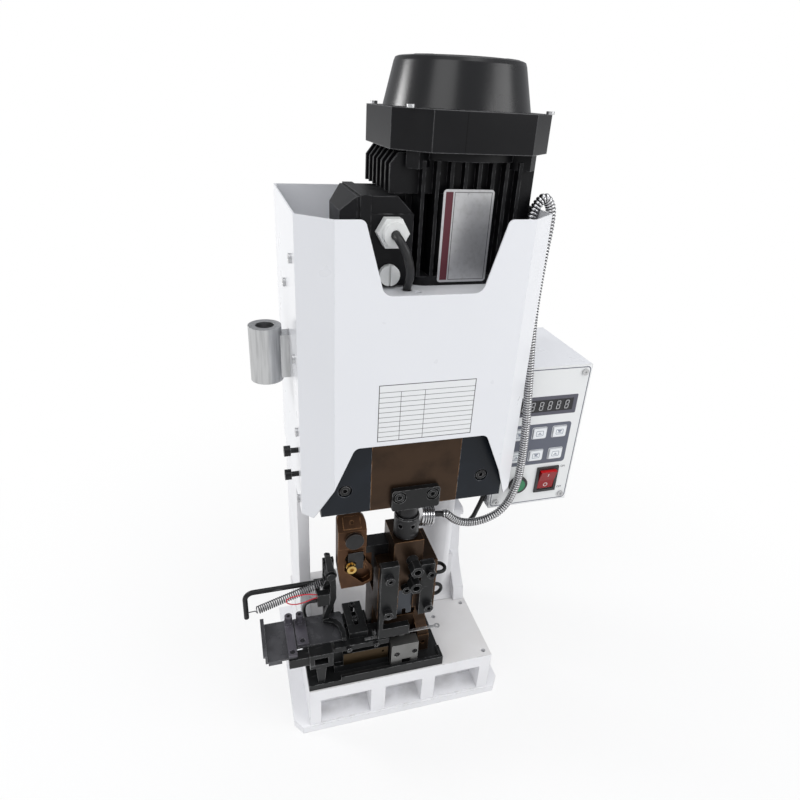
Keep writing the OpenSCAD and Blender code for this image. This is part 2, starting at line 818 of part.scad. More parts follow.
module worm_wheel() {
    root = wheel_r - tooth_in;
    tip = wheel_r + tooth_out;
    base_share = 0.24;
    tip_share = 0.12;
    color("goldenrod") translate([0, motor_y + wheel_hw, crank_z]) rotate([90, 0, 0])
        linear_extrude(height = 2 * wheel_hw) difference() {
            union() {
                circle(r = root);
                for (i = [0 : wheel_n - 1]) rotate(360 * i / wheel_n)
                    polygon([[root - tooth_in, -base_share * pitch], [root, -base_share * pitch],
                        [tip, -tip_share * pitch], [tip, tip_share * pitch],
                        [root, base_share * pitch], [root - tooth_in, base_share * pitch]]);
            }
            circle(r = crank_r);
        }
}

module crank_shaft() {
    pin_z = crank_z + throw_r;
    color("silver") {
        bar_y(disc_r, 0, disc_y, crank_z);
        bar_y(crank_r, 0, [disc_y[1], wall_back[1] + shaft_collar], crank_z);
        bar_y(pin_r, 0, [slot_y[0] + near_gap, disc_y[0]], pin_z);
        difference() {
            bar_y(roller_r, 0, [slot_y[0] + near_gap, slot_y[1]], pin_z);
            bar_y(pin_r, 0, [slot_y[0], slot_y[1] + cut], pin_z);
        }
    }
}

module shaft_bearings() {
    color("darkgoldenrod") for (y = [wall_front, wall_back]) difference() {
        bar_y(bearing_r, 0, y, crank_z);
        bar_y(crank_r + run_gap, 0, [y[0] - cut, y[1] + cut], crank_z);
    }
}

// Moving ram

ram_low = head_low;
t_slot_w = 20.4;
t_slot_z = [299.5, 308];
neck_slot_w = 14;
retainer_w = 48;
retainer_h = 21;
retainer_t = 6;
retainer_over = 2;
retainer_round = 3;
retainer_screw = [16.5, 306];
head_r = 9.8;
post_neck_r = 6.5;

module press_ram() {
    hw = 0.5 * ram_w;
    slot_hz = roller_r + slot_rise + near_gap;
    slot_hx = throw_r + roller_r + 2 * near_gap;
    pin_z = crank_z + throw_r;
    color("#5a3c28") difference() {
        union() {
            span([-hw, hw], [ram_front, guide_back], [ram_low, ram_top]);
            span([-hw - tongue_reach, hw + tongue_reach],
                [guide_back + slide_gap, tongue_back], [ram_low, ram_top]);
            span([-hw, hw], [guide_back, guide_back + slide_gap], [ram_low, ram_top]);
        }
        span([-slot_hx, slot_hx], [slot_y[0], tongue_back + cut], [pin_z - slot_hz, pin_z + slot_hz]);
        span([-0.5 * t_slot_w, 0.5 * t_slot_w], [ram_front - cut, tongue_back + cut],
            [t_slot_z[0], t_slot_z[1]]);
        span([-0.5 * neck_slot_w, 0.5 * neck_slot_w], [ram_front - cut, 0.5 * neck_slot_w + cut],
            [ram_low - cut, t_slot_z[1]]);
    }
}

module ram_retainer() {
    color("#26272a") difference() {
        plate_y([ram_front - retainer_t, ram_front])
            round_rect([-0.5 * retainer_w, 0.5 * retainer_w],
                [ram_low, ram_low + retainer_h + retainer_over], retainer_round);
        for (side = [-1, 1]) {
            bar_y(sink_r, side * retainer_screw[0],
                [ram_front - retainer_t - cut, ram_front - 0.4 * retainer_t], retainer_screw[1]);
            bar_y(0.5 * big_head_r, side * retainer_screw[0],
                [ram_front - retainer_t, ram_front + cut], retainer_screw[1]);
        }
    }
}

nut_at = [[4.5, 216.5], [4.5, 195]];
nut_y = [-34, -22];
nut_r = 7.2;
stem_r = 3.4;
clamp_at = [-1, 180];
slider_front = cheek_front + slide_gap;
cone_r = [6.6, 4.2];

module ram_fasteners() {
    seat = ram_front - 0.4 * retainer_t;
    color("#202225") {
        for (side = [-1, 1]) difference() {
            bar_y(big_head_r, side * retainer_screw[0], [ram_front - retainer_t, seat],
                retainer_screw[1]);
            bar_y(0.5 * big_head_r, side * retainer_screw[0],
                [ram_front - retainer_t - cut, seat - cut], retainer_screw[1]);
        }
        for (p = nut_at) difference() {
            union() {
                translate([p[0], nut_y[1], p[1]]) rotate([90, 0, 0])
                    cylinder(r = nut_r, h = nut_y[1] - nut_y[0], $fn = 6);
                bar_y(stem_r, p[0], [nut_y[1] - cut, slider_front], p[1]);
            }
            bar_y(0.5 * nut_r, p[0], [nut_y[0] - cut, nut_y[1] - 3 * cut], p[1]);
        }
        cap_screw_y(clamp_at[0], slider_front, clamp_at[1], big_head_r, big_head_h, 0);
        translate([nut_at[0][0], slider_front, nut_at[0][1]]) rotate([90, 0, 0])
            cylinder(r1 = cone_r[0], r2 = cone_r[1], h = slider_front - nut_y[1]);
    }
}

// Reel arm sleeve on the left side

sleeve_reach = 21;
sleeve_x = -0.5 * cover_w - sleeve_reach;
sleeve_y = 60;
sleeve_z = 402;
lug_z = [405, 447];
lug_hw = 8;
weld_t = 2;

module reel_arm_sleeve() {
    color("#b9bcbf") difference() {
        union() {
            bar_z(sleeve_r, sleeve_x, sleeve_y, [sleeve_z, sleeve_z + sleeve_l]);
            span([sleeve_x, -0.5 * cover_w], [sleeve_y - lug_hw, sleeve_y + lug_hw], lug_z);
        }
        bar_z(sleeve_bore_r, sleeve_x, sleeve_y, [sleeve_z - cut, sleeve_z + sleeve_l + cut]);
    }
}

// Control box

box_gap = 1.5;
box_left = 0.5 * cover_w + box_gap;
box_x = [box_left, box_left + box_w];
box_y = 33;
panel_t = 2;
panel_inset = 4;
corner_screw = 8;
key_reach = [24.7, 48.9, 73.1];
key_cols = [for (reach = key_reach) box_left + reach];
key_rows = [325.3, 296.8];
window_reach = [17.5, 83.5];
window_x = [for (reach = window_reach) box_left + reach];
window_z = [351.5, 366];
button_in = [32.5, 260];
button_at = [box_left + button_in[0], button_in[1]];
button_r = 8;
bezel_r = 11;
rocker_reach = [54.5, 81.5];
rocker_x = [for (reach = rocker_reach) box_left + reach];
rocker_z = [246, 279.5];
rocker_frame = 3.2;
key_pad = 0.3;
margin = 5;
rim = 2;
grommet_r = 6.5;
grommet_at = [12, 8.5];

module control_box() {
    x = box_x;
    y = [box_y + panel_t, box_y + box_d];
    z = [box_z, box_z + box_h];
    vent_share = [0.3, 0.45, 0.6];
    color("white") difference() {
        span(x, y, z);
        span([x[0] + wall_t, x[1] - wall_t], [y[0] - cut, y[1] - wall_t], [z[0] + wall_t, z[1] - wall_t]);
        bar_x(grommet_r, [x[0] - cut, x[0] + 2 * wall_t], box_y + grommet_at[0], box_z + grommet_at[1]);
        for (s = vent_share)
            span([x[1] - 2 * wall_t, x[1] + cut],
                [y[0] + 0.25 * box_d, y[0] + 0.75 * box_d],
                [z[0] + s * box_h, z[0] + s * box_h + 2 * wall_t]);
        bar_y(2 * button_r * 0.8, 0.5 * (x[0] + x[1]), [y[1] - 2 * wall_t, y[1] + cut],
            z[0] + 0.25 * box_h);
    }
    color("dimgray") difference() {
        bar_y(2 * button_r * 0.8, 0.5 * (x[0] + x[1]), [y[1] - 2 * wall_t, y[1]],
            z[0] + 0.25 * box_h);
        bar_y(button_r, 0.5 * (x[0] + x[1]), [y[1] - wall_t, y[1] + cut], z[0] + 0.25 * box_h);
    }
}

module control_panel() {
    color("whitesmoke") difference() {
        span(box_x, [box_y, box_y + panel_t], [box_z, box_z + box_h]);
        span(window_x, [box_y - cut, box_y + panel_t + cut], window_z);
        for (x = key_cols, z = key_rows)
            span([x - 0.5 * key_w - key_pad, x + 0.5 * key_w + key_pad],
                [box_y - cut, box_y + panel_t + cut],
                [z - 0.5 * key_h - key_pad, z + 0.5 * key_h + key_pad]);
        bar_y(button_r + slide_gap, button_at[0], [box_y - cut, box_y + panel_t + cut], button_at[1]);
        span([rocker_x[0] + rocker_frame, rocker_x[1] - rocker_frame],
            [box_y - cut, box_y + panel_t + cut],
            [rocker_z[0] + rocker_frame, rocker_z[1] - rocker_frame]);
    }
}

module display_window() {
    digit_n = 6;
    pitch_x = (window_x[1] - window_x[0] - margin) / digit_n;
    digit_share = 0.6;
    color("#101214") span(window_x, [box_y + slide_gap, box_y + panel_t], window_z);
    color("dimgray") for (i = [0 : digit_n - 1])
        span([window_x[0] + margin + i * pitch_x, window_x[0] + margin + (i + digit_share) * pitch_x],
            [box_y - slide_gap, box_y + slide_gap], [window_z[0] + rim, window_z[1] - rim]);
}

key_cap_t = 1.4;
key_stem = 5;

// One keycap with its stem, which travels back into the panel
module keycap(i) {
    x = key_cols[i % 3];
    z = key_rows[floor(i / 3)];
    color("ghostwhite")
        span([x - 0.5 * key_w, x + 0.5 * key_w], [box_y - key_cap_t, box_y + key_stem],
            [z - 0.5 * key_h, z + 0.5 * key_h]);
}

button_reach = 3;

module green_button() {
    color("green") bar_y(button_r - slide_gap, button_at[0], [box_y - button_reach - cut, box_y + 3 * button_reach],
        button_at[1]);
}

module switch_bezels() {
    color("#141414") {
        difference() {
            bar_y(bezel_r, button_at[0], [box_y - button_reach, box_y], button_at[1]);
            bar_y(button_r + slide_gap, button_at[0], [box_y - 2 * button_reach, box_y + cut],
                button_at[1]);
        }
        difference() {
            span(rocker_x, [box_y - 0.6 * button_reach, box_y], rocker_z);
            span([rocker_x[0] + rocker_frame, rocker_x[1] - rocker_frame],
                [box_y - button_reach, box_y + cut],
                [rocker_z[0] + rocker_frame, rocker_z[1] - rocker_frame]);
        }
    }
}

rocker_gap = 0.8;
rocker_deep = 6;
rise = 3.2;
rocker_pin_r = 1.4;
rocker_pin_set = 4;
rocker_pin_over = 1.2;

module rocker_switch() {
    mid = 0.5 * (rocker_z[0] + rocker_z[1]);
    hz = 0.5 * (rocker_z[1] - rocker_z[0]) - rocker_frame - rocker_gap;
    x = [rocker_x[0] + rocker_frame + near_gap, rocker_x[1] - rocker_frame - near_gap];
    color("#b01218") {
        bar_x(rocker_pin_r, [x[0] - rocker_pin_over, x[1] + rocker_pin_over], box_y + rocker_pin_set, mid);
        plate_x(x)
            polygon([[box_y + rocker_deep, mid - 0.35 * hz], [box_y - 0.2 * rise, mid - hz],
                [box_y - 0.6 * rise, mid - 0.1 * hz], [box_y - 1.9 * rise, mid + 0.97 * hz],
                [box_y - 0.4 * rise, mid + hz], [box_y + rocker_deep, mid + 0.35 * hz]]);
    }
}

// Brackets: the plate between the column and the control box, and the lamp's foot
bracket_z = [234, 284];
bracket_y = [112, 144];
lamp_in = 6.8;
lamp_foot_x = side_x - lamp_in;
lamp_foot_y = 16;
lamp_foot_z = [515, 548];
hose_r = 4.6;

module side_brackets() {
    color("lightgray") {
        span([side_x, box_x[0]], bracket_y, bracket_z);
        difference() {
            span([lamp_foot_x - hose_r - wall_t, side_x],
                [lamp_foot_y - hose_r - wall_t, lamp_foot_y + hose_r + wall_t], lamp_foot_z);
            bar_z(hose_r + near_gap, lamp_foot_x, lamp_foot_y, [lamp_foot_z[0] + wall_t, lamp_foot_z[1] + cut]);
        }
    }
}

// Lamp: a ribbed metal hose that holds the shape it is bent to
hose_route = [[99, 16, 517.5], [99, 16, 528], [99, 16, 540], [99, 16, 552], [102, 16, 565],
    [109.5, 16, 573.5], [117, 16.5, 566], [119, 17, 552], [118.5, 17.5, 530], [118, 18, 500],
    [118.5, 18.5, 470], [121, 19, 440], [124.5, 19.5, 410], [128, 20, 380], [131, 20, 350],
    [133, 20, 320], [133.5, 20, 295], [132, 20, 272], [126, 20, 250], [116, 20, 235.5],
    [102, 20, 228], [86, 20, 225.5], [72, 20, 228], [62, 20, 233.5], [52, 20, 242.8], [47, 20, 243.5]];
rib_deep = 0.9;

module lamp_hose() {
    end_share = 0.02;
    n = 8;
    places = [for (i = [0 : ribs]) let (s = end_share + (1 - 2 * end_share) * i / ribs)
        each [[s, hose_r], [s + 0.5 * (1 - 2 * end_share) / ribs, hose_r - rib_deep]]];
    all = concat([[0, hose_r - rib_deep]], places, [[1, hose_r - rib_deep]]);
    rings = [for (q = all)
        ring_at(along(hose_route, q[0]), heading(hose_route, q[0]), q[1], n, [0, 1, 0])];
    color("silver") ring_skin(rings, n);
}

lamp_r = 12.5;
lamp_l = 14;
fin_count = 4;
lamp_end = [47, 20, 243.5];
lamp_tilt = 8;
barrel_l = 13;
barrel_r = 3.2;
groove = 1.5;

module lamp_head() {
    color("silver") translate(lamp_end) rotate([0, -90 + lamp_tilt, 0]) {
        cylinder(r = barrel_r, h = barrel_l);
        translate([0, 0, barrel_l]) difference() {
            cylinder(r = lamp_r, h = lamp_l);
            for (i = [0 : fin_count - 1])
                translate([0, 0, (i + 0.7) * lamp_l / (fin_count + 1)]) difference() {
                    cylinder(r = lamp_r + cut, h = groove);
                    translate([0, 0, -cut]) cylinder(r = 0.72 * lamp_r, h = groove + 2 * cut);
                }
            translate([0, 0, lamp_l - groove]) cylinder(r = 0.75 * lamp_r, h = groove + cut);
        }
    }
}

// Applicator

module applicator_base() {
    color("#1d201f") difference() {
        union() {
            span(app_x, app_y, [base_h, app_z]);
            span([rim_x, app_x[1]], [app_y[0], app_y[0] + rim_t], [app_z, app_z + rim_h]);
            span([app_x[1] - rim_t, app_x[1]], [app_y[0], app_y[0] + 5 * rim_t], [app_z, app_z + rim_h]);
        }
        bar_x(tap_r, [app_x[1] - 3 * rim_t, app_x[1] + cut], app_y[0] + 4 * rim_t,
            base_h + 0.5 * app_t);
    }
}

frame_back = 38;
frame_wall_y = 25;
frame_top = 212;
foot_top = 116;
foot_front = 6;
cheek_low = 140;
cheek_bend = 160;
arm_y = [6.6, 24.4];
throat_r = 24;
throat_z = 120;
toe_y = -10.5;
toe_x = 20;
toe_h = 24;

module applicator_frame() {
    x = [frame_cheek_l[0], frame_cheek_r[1]];
    color("#4a3322") difference() {
        union() {
            span(x, [foot_front, frame_back], [app_z, foot_top]);
            span(x, [frame_wall_y, frame_back], [foot_top, frame_top]);
            span(frame_cheek_l, [foot_front, frame_back], [foot_top, cheek_bend]);
            span(frame_cheek_l, [cheek_front, foot_front], [cheek_low, frame_top]);
            span(frame_cheek_r, [cheek_front, frame_back], [cheek_low, frame_top]);
            span([toe_x, x[1]], [toe_y, foot_front + throat_r], [app_z, cheek_low]);
            span([toe_x, x[1]], [cheek_front, foot_front], [throat_z + 0.9 * throat_r, cheek_low]);
        }
        bar_x(throat_r, [toe_x - cut, x[1] + cut], cheek_front, throat_z);
        bar_y(tap_r, 0.5 * (toe_x + x[1]), [toe_y - cut, toe_y + 2 * toe_h / 3], app_z + 0.55 * toe_h);
    }
}

stripper_z = [118, 131];
stripper_x = [-28, 4];
stripper_set = 1;
stripper_leg = 4.5;

module applicator_guides() {
    y = [guide_y[0], guide_y[1] - stripper_set];
    color("#24272b") {
        difference() {
            union() {
                span(left_guide_x, guide_y, left_guide_z);
                span([left_guide_x[0], left_guide_x[0] + stripper_leg], y,
                    [stripper_z[0], left_guide_z[0]]);
                span(stripper_x, y, stripper_z);
            }
            for (p = left_screws)
                bar_y(0.5 * big_head_r, p[0], [guide_y[0] - cut, guide_y[1] + cut], p[1]);
        }
        difference() {
            span(right_guide_x, guide_y, right_guide_z);
            for (p = right_screws)
                bar_y(0.5 * big_head_r, p[0], [guide_y[0] - cut, guide_y[1] + cut], p[1]);
        }
    }
}

slider_low = 148;
slider_back = frame_wall_y - slide_gap;
crimp_y = [-11.6, -4.6];
crimp_hw = 8;
crimp_top = 176;
crimp_low = 138.5;
arch = 2.4;

module applicator_ram() {
    color("#4e3422") difference() {
        span([-slider_hw, slider_hw], [slider_front, slider_back], [slider_low, slider_top]);
        span([-crimp_hw - slide_gap, crimp_hw + slide_gap],
            [slider_front - cut, crimp_y[1]], [slider_low - cut, crimp_top]);
        bar_z(0.6 * post_r, 0, 0, [slider_top - 2 * post_r, slider_top + cut]);
    }
}

dial_lift = 1.5;
dial_z = [slider_top + dial_lift, slider_top + dial_lift + dial_h];
collar_reach = 2.5;
hole_r = 2.4;
dial_step = 0.6;
dial_step_h = 2;

module ram_post() {
    color("#1c1d1f") union() {
        bar_z(0.6 * post_r, 0, 0, [slider_top - 2 * post_r, slider_top]);
        bar_z(post_r, 0, 0, [slider_top, ram_low - near_gap]);
        bar_z(post_neck_r, 0, 0, [ram_low - near_gap, t_slot_z[0] + near_gap]);
        bar_z(head_r, 0, 0, [t_slot_z[0] + near_gap, t_slot_z[1] - near_gap]);
        bar_z(post_r + collar_reach, 0, 0, [dial_z[1] + near_gap, ram_low - near_gap]);
        bar_z(post_r + 0.8 * collar_reach, 0, 0, [slider_top, dial_z[0] - slide_gap]);
    }
}

module adjusting_dial() {
    holes = 6;
    color("#232427") difference() {
        bar_z(dial_r, 0, 0, dial_z);
        bar_z(post_r + run_gap, 0, 0, [dial_z[0] - cut, dial_z[1] + cut]);
        for (i = [0 : holes - 1]) rotate([0, 0, 360 * i / holes + 15])
            bar_y(hole_r, 0, [-dial_r - cut, 0.5 * cut - post_r - run_gap],
                0.4 * dial_z[0] + 0.6 * dial_z[1]);
        translate([0, 0, dial_z[1] - dial_step_h]) difference() {
            cylinder(r = dial_r + cut, h = dial_step_h + cut);
            translate([0, 0, -cut]) cylinder(r = dial_r - dial_step, h = dial_step_h + 3 * cut);
        }
    }
}

module crimpers() {
    y_mid = 0.5 * (crimp_y[0] + crimp_y[1]);
    color("silver") for (y = [[crimp_y[0], y_mid - 0.25 * cut], [y_mid + 0.25 * cut, crimp_y[1]]])
        plate_y(y) difference() {
            translate([-crimp_hw, crimp_low]) square([2 * crimp_hw, crimp_top - crimp_low]);
            translate([-arch, crimp_low - cut]) square([2 * arch, 2 * arch + cut]);
            translate([0, crimp_low + 2 * arch]) circle(r = arch, $fn = corner_n);
        }
}

anvil_relief_x = [-2.5, 8];
anvil_relief_h = 9;
anvil_hw = 3;
anvil_back_x = [-10, 12];
anvil_step = 4;
anvil_gap = 2;

module anvil_block() {
    top = crimp_low - stroke - anvil_gap;
    mid = crimp_y[1] + near_gap;
    color("#8d8f8c") difference() {
        span(anvil_x, anvil_y, anvil_z);
        for (p = anvil_holes) {
            bar_y(small_head_r + near_gap, p[0],
                [anvil_y[0] - cut, anvil_y[0] + small_head_h + screw_sink], p[1]);
            bar_y(0.5 * small_head_r, p[0], [anvil_y[0], anvil_y[1] + cut], p[1]);
        }
        span(anvil_relief_x, [anvil_y[0] - cut, anvil_y[1] + cut],
            [anvil_z[0] - cut, anvil_z[0] + anvil_relief_h]);
    }
    color("#b4b4b0") {
        span([-anvil_hw, anvil_hw], [anvil_y[1], mid], [app_z, top]);
        span(anvil_back_x, [mid, foot_front], [app_z, anvil_z[1] - anvil_step]);
    }
}

brass_x = [-68, -17];
brass_y = [-17.5, -12];
brass_z = [81, 98];
rail_x = [-80, -35];
rail_y = [12, 27];
stand_x = [-105.5, -80.7];
stand_y = [-26, -12];
stand_z = [95, 114.5];
stand_wall = 5;
leg_x = [-99, -88];
leg_taper = 2;
block_inset = 2;
brass_hole = [6, 6];
brass_hole_r = 1.4;
side_block = [-127, -105.5];
side_block_z = [100, 112];
plate_z0 = track_z[1];
plate_t2 = 2;

module feed_track() {
    color("#1f2225") {
        difference() {
            union() {
                span(track_x, track_y, track_z);
                span(track_x, [brass_y[1], foot_front], [app_z, track_z[1]]);
                span(track_x, [brass_y[0], brass_y[1]], [app_z, brass_z[0]]);
            }
            for (p = track_screws)
                bar_y(0.5 * small_head_r, p[0],
                    [track_y[0] - cut, track_y[0] + 2 * small_head_h], p[1]);
        }
        span(rail_x, rail_y, [app_z, plate_z0]);
        difference() {
            union() {
                span(stand_x, stand_y, stand_z);
                plate_y(stand_y) polygon([[leg_x[0], stand_z[0]], [leg_x[1], stand_z[0]],
                    [leg_x[1] - leg_taper, app_z], [leg_x[0] + leg_taper, app_z]]);
                span(side_block, [stand_y[0] + block_inset, stand_y[1]], side_block_z);
            }
            span([stand_x[0] + stand_wall, stand_x[1] - stand_wall], [stand_y[0] - cut, stand_y[1] + cut],
                [stand_z[0] + stand_wall, stand_z[1] - stand_wall]);
        }
    }
    color("#6a5328") difference() {
        span(brass_x, brass_y, brass_z);
        bar_y(brass_hole_r, brass_x[1] - brass_hole[0],
            [brass_y[0] - cut, brass_y[0] + 2 * brass_hole_r], brass_z[1] - brass_hole[1]);
    }
}

guide_x2 = [-60, -39];
guide_y2 = [-10, 35];
guide_t2 = 4;
slot_hw = 2.6;
guide_bolts = [8, 29];
guide_lift = 1.5;
lip_t = 3;
foot_inset = 2;
slot_y2 = [1, 33];
slot_flat = 0.1;
bolt_head_r = 3.6;
bolt_head_h = 3;

module strip_guide() {
    low = plate_z0 + plate_t2 + guide_lift;
    z = [low, low + guide_t2];
    slot_x = 0.5 * (guide_x2[0] + guide_x2[1]);
    color("#1d1f22") {
        difference() {
            union() {
                span(guide_x2, guide_y2, z);
                span(guide_x2, [guide_y2[0], guide_y2[0] + lip_t], [plate_z0, z[1]]);
                span([guide_x2[0], guide_x2[1] - foot_inset], rail_y, [plate_z0, z[0]]);
            }
            plate_z([plate_z0 - cut, z[1] + cut])
                round_rect([slot_x - slot_hw, slot_x + slot_hw], slot_y2, slot_hw - slot_flat);
        }
        for (y = guide_bolts) difference() {
            union() {
                bar_z(bolt_head_r, slot_x, y, [z[1], z[1] + bolt_head_h]);
                bar_z(0.55 * bolt_head_r, slot_x, y, [plate_z0, z[1]]);
            }
            translate([slot_x, y, z[1] + 0.5 * bolt_head_h])
                cylinder(r = 0.5 * bolt_head_r, h = bolt_head_h, $fn = 6);
        }
    }
}

sheet_x = [-151, -62.5];
sheet_y = [-22, 29.5];
sheet_z = [plate_z0, plate_z0 + plate_t2];
step_x = -117.4;
step_y = -10.5;
lip_h = 11;
roll_r = 2;
tongue = [3, 17, 9, 1, 7];
tongue_t = 5;
sheet_round = 5;

module feed_plate() {
    x0 = sheet_x[0];
    y0 = sheet_y[0];
    color("#34373b") union() {
        difference() {
            plate_z(sheet_z) polygon(rounded([[x0, y0], [step_x, y0], [step_x, step_y],
                [sheet_x[1], step_y], [sheet_x[1], sheet_y[1]], [x0, sheet_y[1]]],
                sheet_round * [0, 0.4, 0.3, 1, 0.6, 0]));
            span(stand_x, [step_y - cut, stand_y[1]], [sheet_z[0] - cut, sheet_z[1] + cut]);
        }
        span([x0, x0 + plate_t2], sheet_y, [sheet_z[0], sheet_z[0] + lip_h]);
        span([x0 - roll_r, x0], sheet_y, [sheet_z[0] + lip_h - roll_r, sheet_z[0] + lip_h]);
        plate_z([sheet_z[0] - tongue_t, sheet_z[0]])
            polygon([[x0 + tongue[0], y0 + tongue[3]], [x0 + tongue[1], y0 + tongue[3]],
                [x0 + tongue[1], y0 + tongue[4]], [x0 + tongue[2], y0 + tongue[4]]]);
    }
}

bar_one_x = [-127, -118];
bar_two_x = [-116.4, -104];
bar_t = 3;
bolt_r = 2.8;
bolt_inset = 8;
bar_hole_in = 5;
bar_end = [1, 3];
bar_nut_r = 4.9;
bar_nut_h = 4;
stud_r = 4.2;
stud_h = 12;

module clamp_bars() {
    z = [sheet_z[1], sheet_z[1] + bar_t];
    y = [[sheet_y[0], sheet_y[1] - bar_end[0]], [step_y + bar_end[0], sheet_y[1] - bar_end[1]]];
    color("#6c6a72") for (i = [0, 1]) {
        x = i == 0 ? bar_one_x : bar_two_x;
        mid = 0.5 * (x[0] + x[1]);
        bolt_y = sheet_y[1] - bolt_inset;
        difference() {
            span(x, y[i], z);
            bar_z(bolt_r, mid, y[i][0] + bar_hole_in, [z[0] - cut, z[1] + cut]);
        }
        translate([mid, bolt_y, z[1]]) cylinder(r = bar_nut_r, h = bar_nut_h, $fn = 6);
        difference() {
            bar_z(stud_r, mid, bolt_y, [z[1] + bar_nut_h, z[1] + stud_h]);
            translate([mid, bolt_y, z[1] + stud_h - bar_t])
                cylinder(r = 0.8 * bolt_r, h = bar_t + cut, $fn = 6);
        }
    }
}

strip_y = [-16.5, -13];
strip_t = 0.6;
strip_z = [plate_z0 + slide_gap, plate_z0 + slide_gap + strip_t];
strip_x = [-44, 40];
term_pitch = 8;
pilot_r = 0.8;
eye_r = 3.2;
barrel_hw = 1.9;
barrel_y = [2, 7];
barrel_h = 2.4;

module terminal_strip() {
    mid = 0.5 * (strip_y[0] + strip_y[1]);
    y = [strip_y[1] + barrel_y[0], strip_y[1] + barrel_y[1]];
    color("gainsboro") union() {
        difference() {
            span([strip_x[0], strip_x[1] - 0.8 * eye_r], strip_y, strip_z);
            for (i = [0 : 9]) bar_z(pilot_r, (i - 4.5) * term_pitch, mid,
                [strip_z[0] - cut, strip_z[1] + cut]);
        }
        difference() {
            bar_z(eye_r, strip_x[1], mid, strip_z);
            bar_z(0.5 * eye_r, strip_x[1], mid, [strip_z[0] - cut, strip_z[1] + cut]);
        }
        for (i = [-4 : -2]) {
            x = i * term_pitch;
            span([x - pilot_r, x + pilot_r], [strip_y[1] - cut, y[0]], strip_z);
            span([x - barrel_hw, x + barrel_hw], y, strip_z);
            for (side = [-1, 1])
                translate([x + side * (barrel_hw - 0.5 * strip_t), 0, 0])
                    span([-0.5 * strip_t, 0.5 * strip_t], y, [strip_z[0], strip_z[1] + barrel_h]);
        }
    }
}

// Feed drive on the left of the ram

cam_x = [-71, -41.5];
cam_y = [0, 14];
cam_low = 176;
cam_step_z = 231;
cam_face_z = 253;
cam_top = 267;
cam_set = 2;
lobe_x = -34;
arm_z = [206, 225];
arm_foot = [11.6, 11];
knob_at = [-57.5, 207];
knob_r = 5;
cam_boss = [-54.5, 242];
cam_boss_r = 9.5;
cam_boss_h = 3.5;
pocket_at = [-53, 214];
pocket_r = 11;
pocket_deep = 9;
holder_lip = 0.5;
holder_h = 18;
holder_hw = 3;
holder_foot = 4;
holder_end = 3;
recess_w = 18;
recess_l = 13;
recess_t = 1.4;
recess_screw_r = 2;
cam_round = 9;

// Outline of the cam: across as shares of its width to the lobe, up as shares of its height
cam_shares = [[0.1, 0], [0.745, 0], [1, 0.055], [1, 0.275], [0.797, 0.395], [0.797, 1], [0, 1], [0, 0.32]];
cam_round_shares = [0.1, 0.33, 0.45, 0.55, 0.66, 1, 0.55, 0.45];
slot_shares = [[0.19, 0.417], [0.19, 0.264], [0.745, 0.038], [0.96, 0.088], [0.96, 0.187], [0.69, 0.417]];
slot_round_shares = [0, 0.33, 0.33, 0.33, 0.33, 0];

module feed_cam() {
    x = cam_x;
    y = cam_y;
    w = lobe_x - x[0];
    h = cam_top - cam_low;
    slope = atan((y[1] - cam_set) / (cam_top - cam_face_z));
    color("#54351f") difference() {
        plate_y(y) polygon(rounded([for (p = cam_shares) [x[0] + w * p[0], cam_low + h * p[1]]],
            cam_round * cam_round_shares));
        span([x[0] - cut, lobe_x + cut], [y[0] - cut, y[0] + cam_set], [cam_low - cut, cam_step_z]);
        plate_x([x[0] - cut, x[1] + cut]) polygon([[y[0] - cut, cam_face_z], [y[0], cam_face_z],
            [y[1] - cam_set, cam_top], [y[1] - cam_set, cam_top + cut], [y[0] - cut, cam_top + cut]]);
        bar_y(pocket_r, pocket_at[0], [y[0] - cut, y[0] + pocket_deep], pocket_at[1]);
        plate_y([y[0] - cut, y[0] + pocket_deep])
            polygon(rounded([for (p = slot_shares) [x[0] + w * p[0], cam_low + h * p[1]]],
                cam_round * slot_round_shares));
    }
    color("#1c1d20") {
        bar_y(cam_boss_r, cam_boss[0], [y[0] - cam_boss_h, y[0]], cam_boss[1]);
        span([x[1], -slider_hw], arm_y, arm_z);
        span([x[1], x[1] + arm_foot[0]], arm_y, [arm_z[0] - arm_foot[1], arm_z[0]]);
        span([knob_at[0] + knob_r + near_gap, x[1] - holder_end],
            [y[0] - holder_lip, y[0] + pocket_deep], [knob_at[1] - holder_foot, knob_at[1] + holder_h]);
        span([knob_at[0] - holder_hw, knob_at[0] + knob_r + near_gap],
            [y[0] - holder_lip, y[0] + pocket_deep],
            [knob_at[1] + knob_r + 2 * near_gap, knob_at[1] + holder_h]);
        translate([0.5 * (x[0] + x[1]), 0.5 * (y[1] - cam_set), 0.5 * (cam_face_z + cam_top)])
            rotate([-slope, 0, 0]) translate([0, -0.5 * recess_t, 0]) difference() {
                cube([recess_w, recess_t, recess_l], center = true);
                rotate([90, 0, 0]) cylinder(r = recess_screw_r, h = 2 * recess_t, center = true);
            }
    }
}

knob_neck = 3;
knob_front = 2.5;
knob_step = [0.5, 2];

module brass_knob() {
    y = cam_y[0];
    color("#c9a24a") difference() {
        union() {
            bar_y(0.75 * knob_r, knob_at[0], [y - knob_neck, y + pocket_deep - near_gap], knob_at[1]);
            bar_y(knob_r, knob_at[0], [y - knob_neck - knob_front, y - knob_neck], knob_at[1]);
            bar_y(knob_r, knob_at[0], [y + knob_step[0], y + knob_step[1]], knob_at[1]);
        }
        translate([knob_at[0], y - knob_neck, knob_at[1]]) rotate([90, 0, 0])
            cylinder(r = 0.5 * knob_r, h = knob_neck + cut, $fn = 6);
    }
}

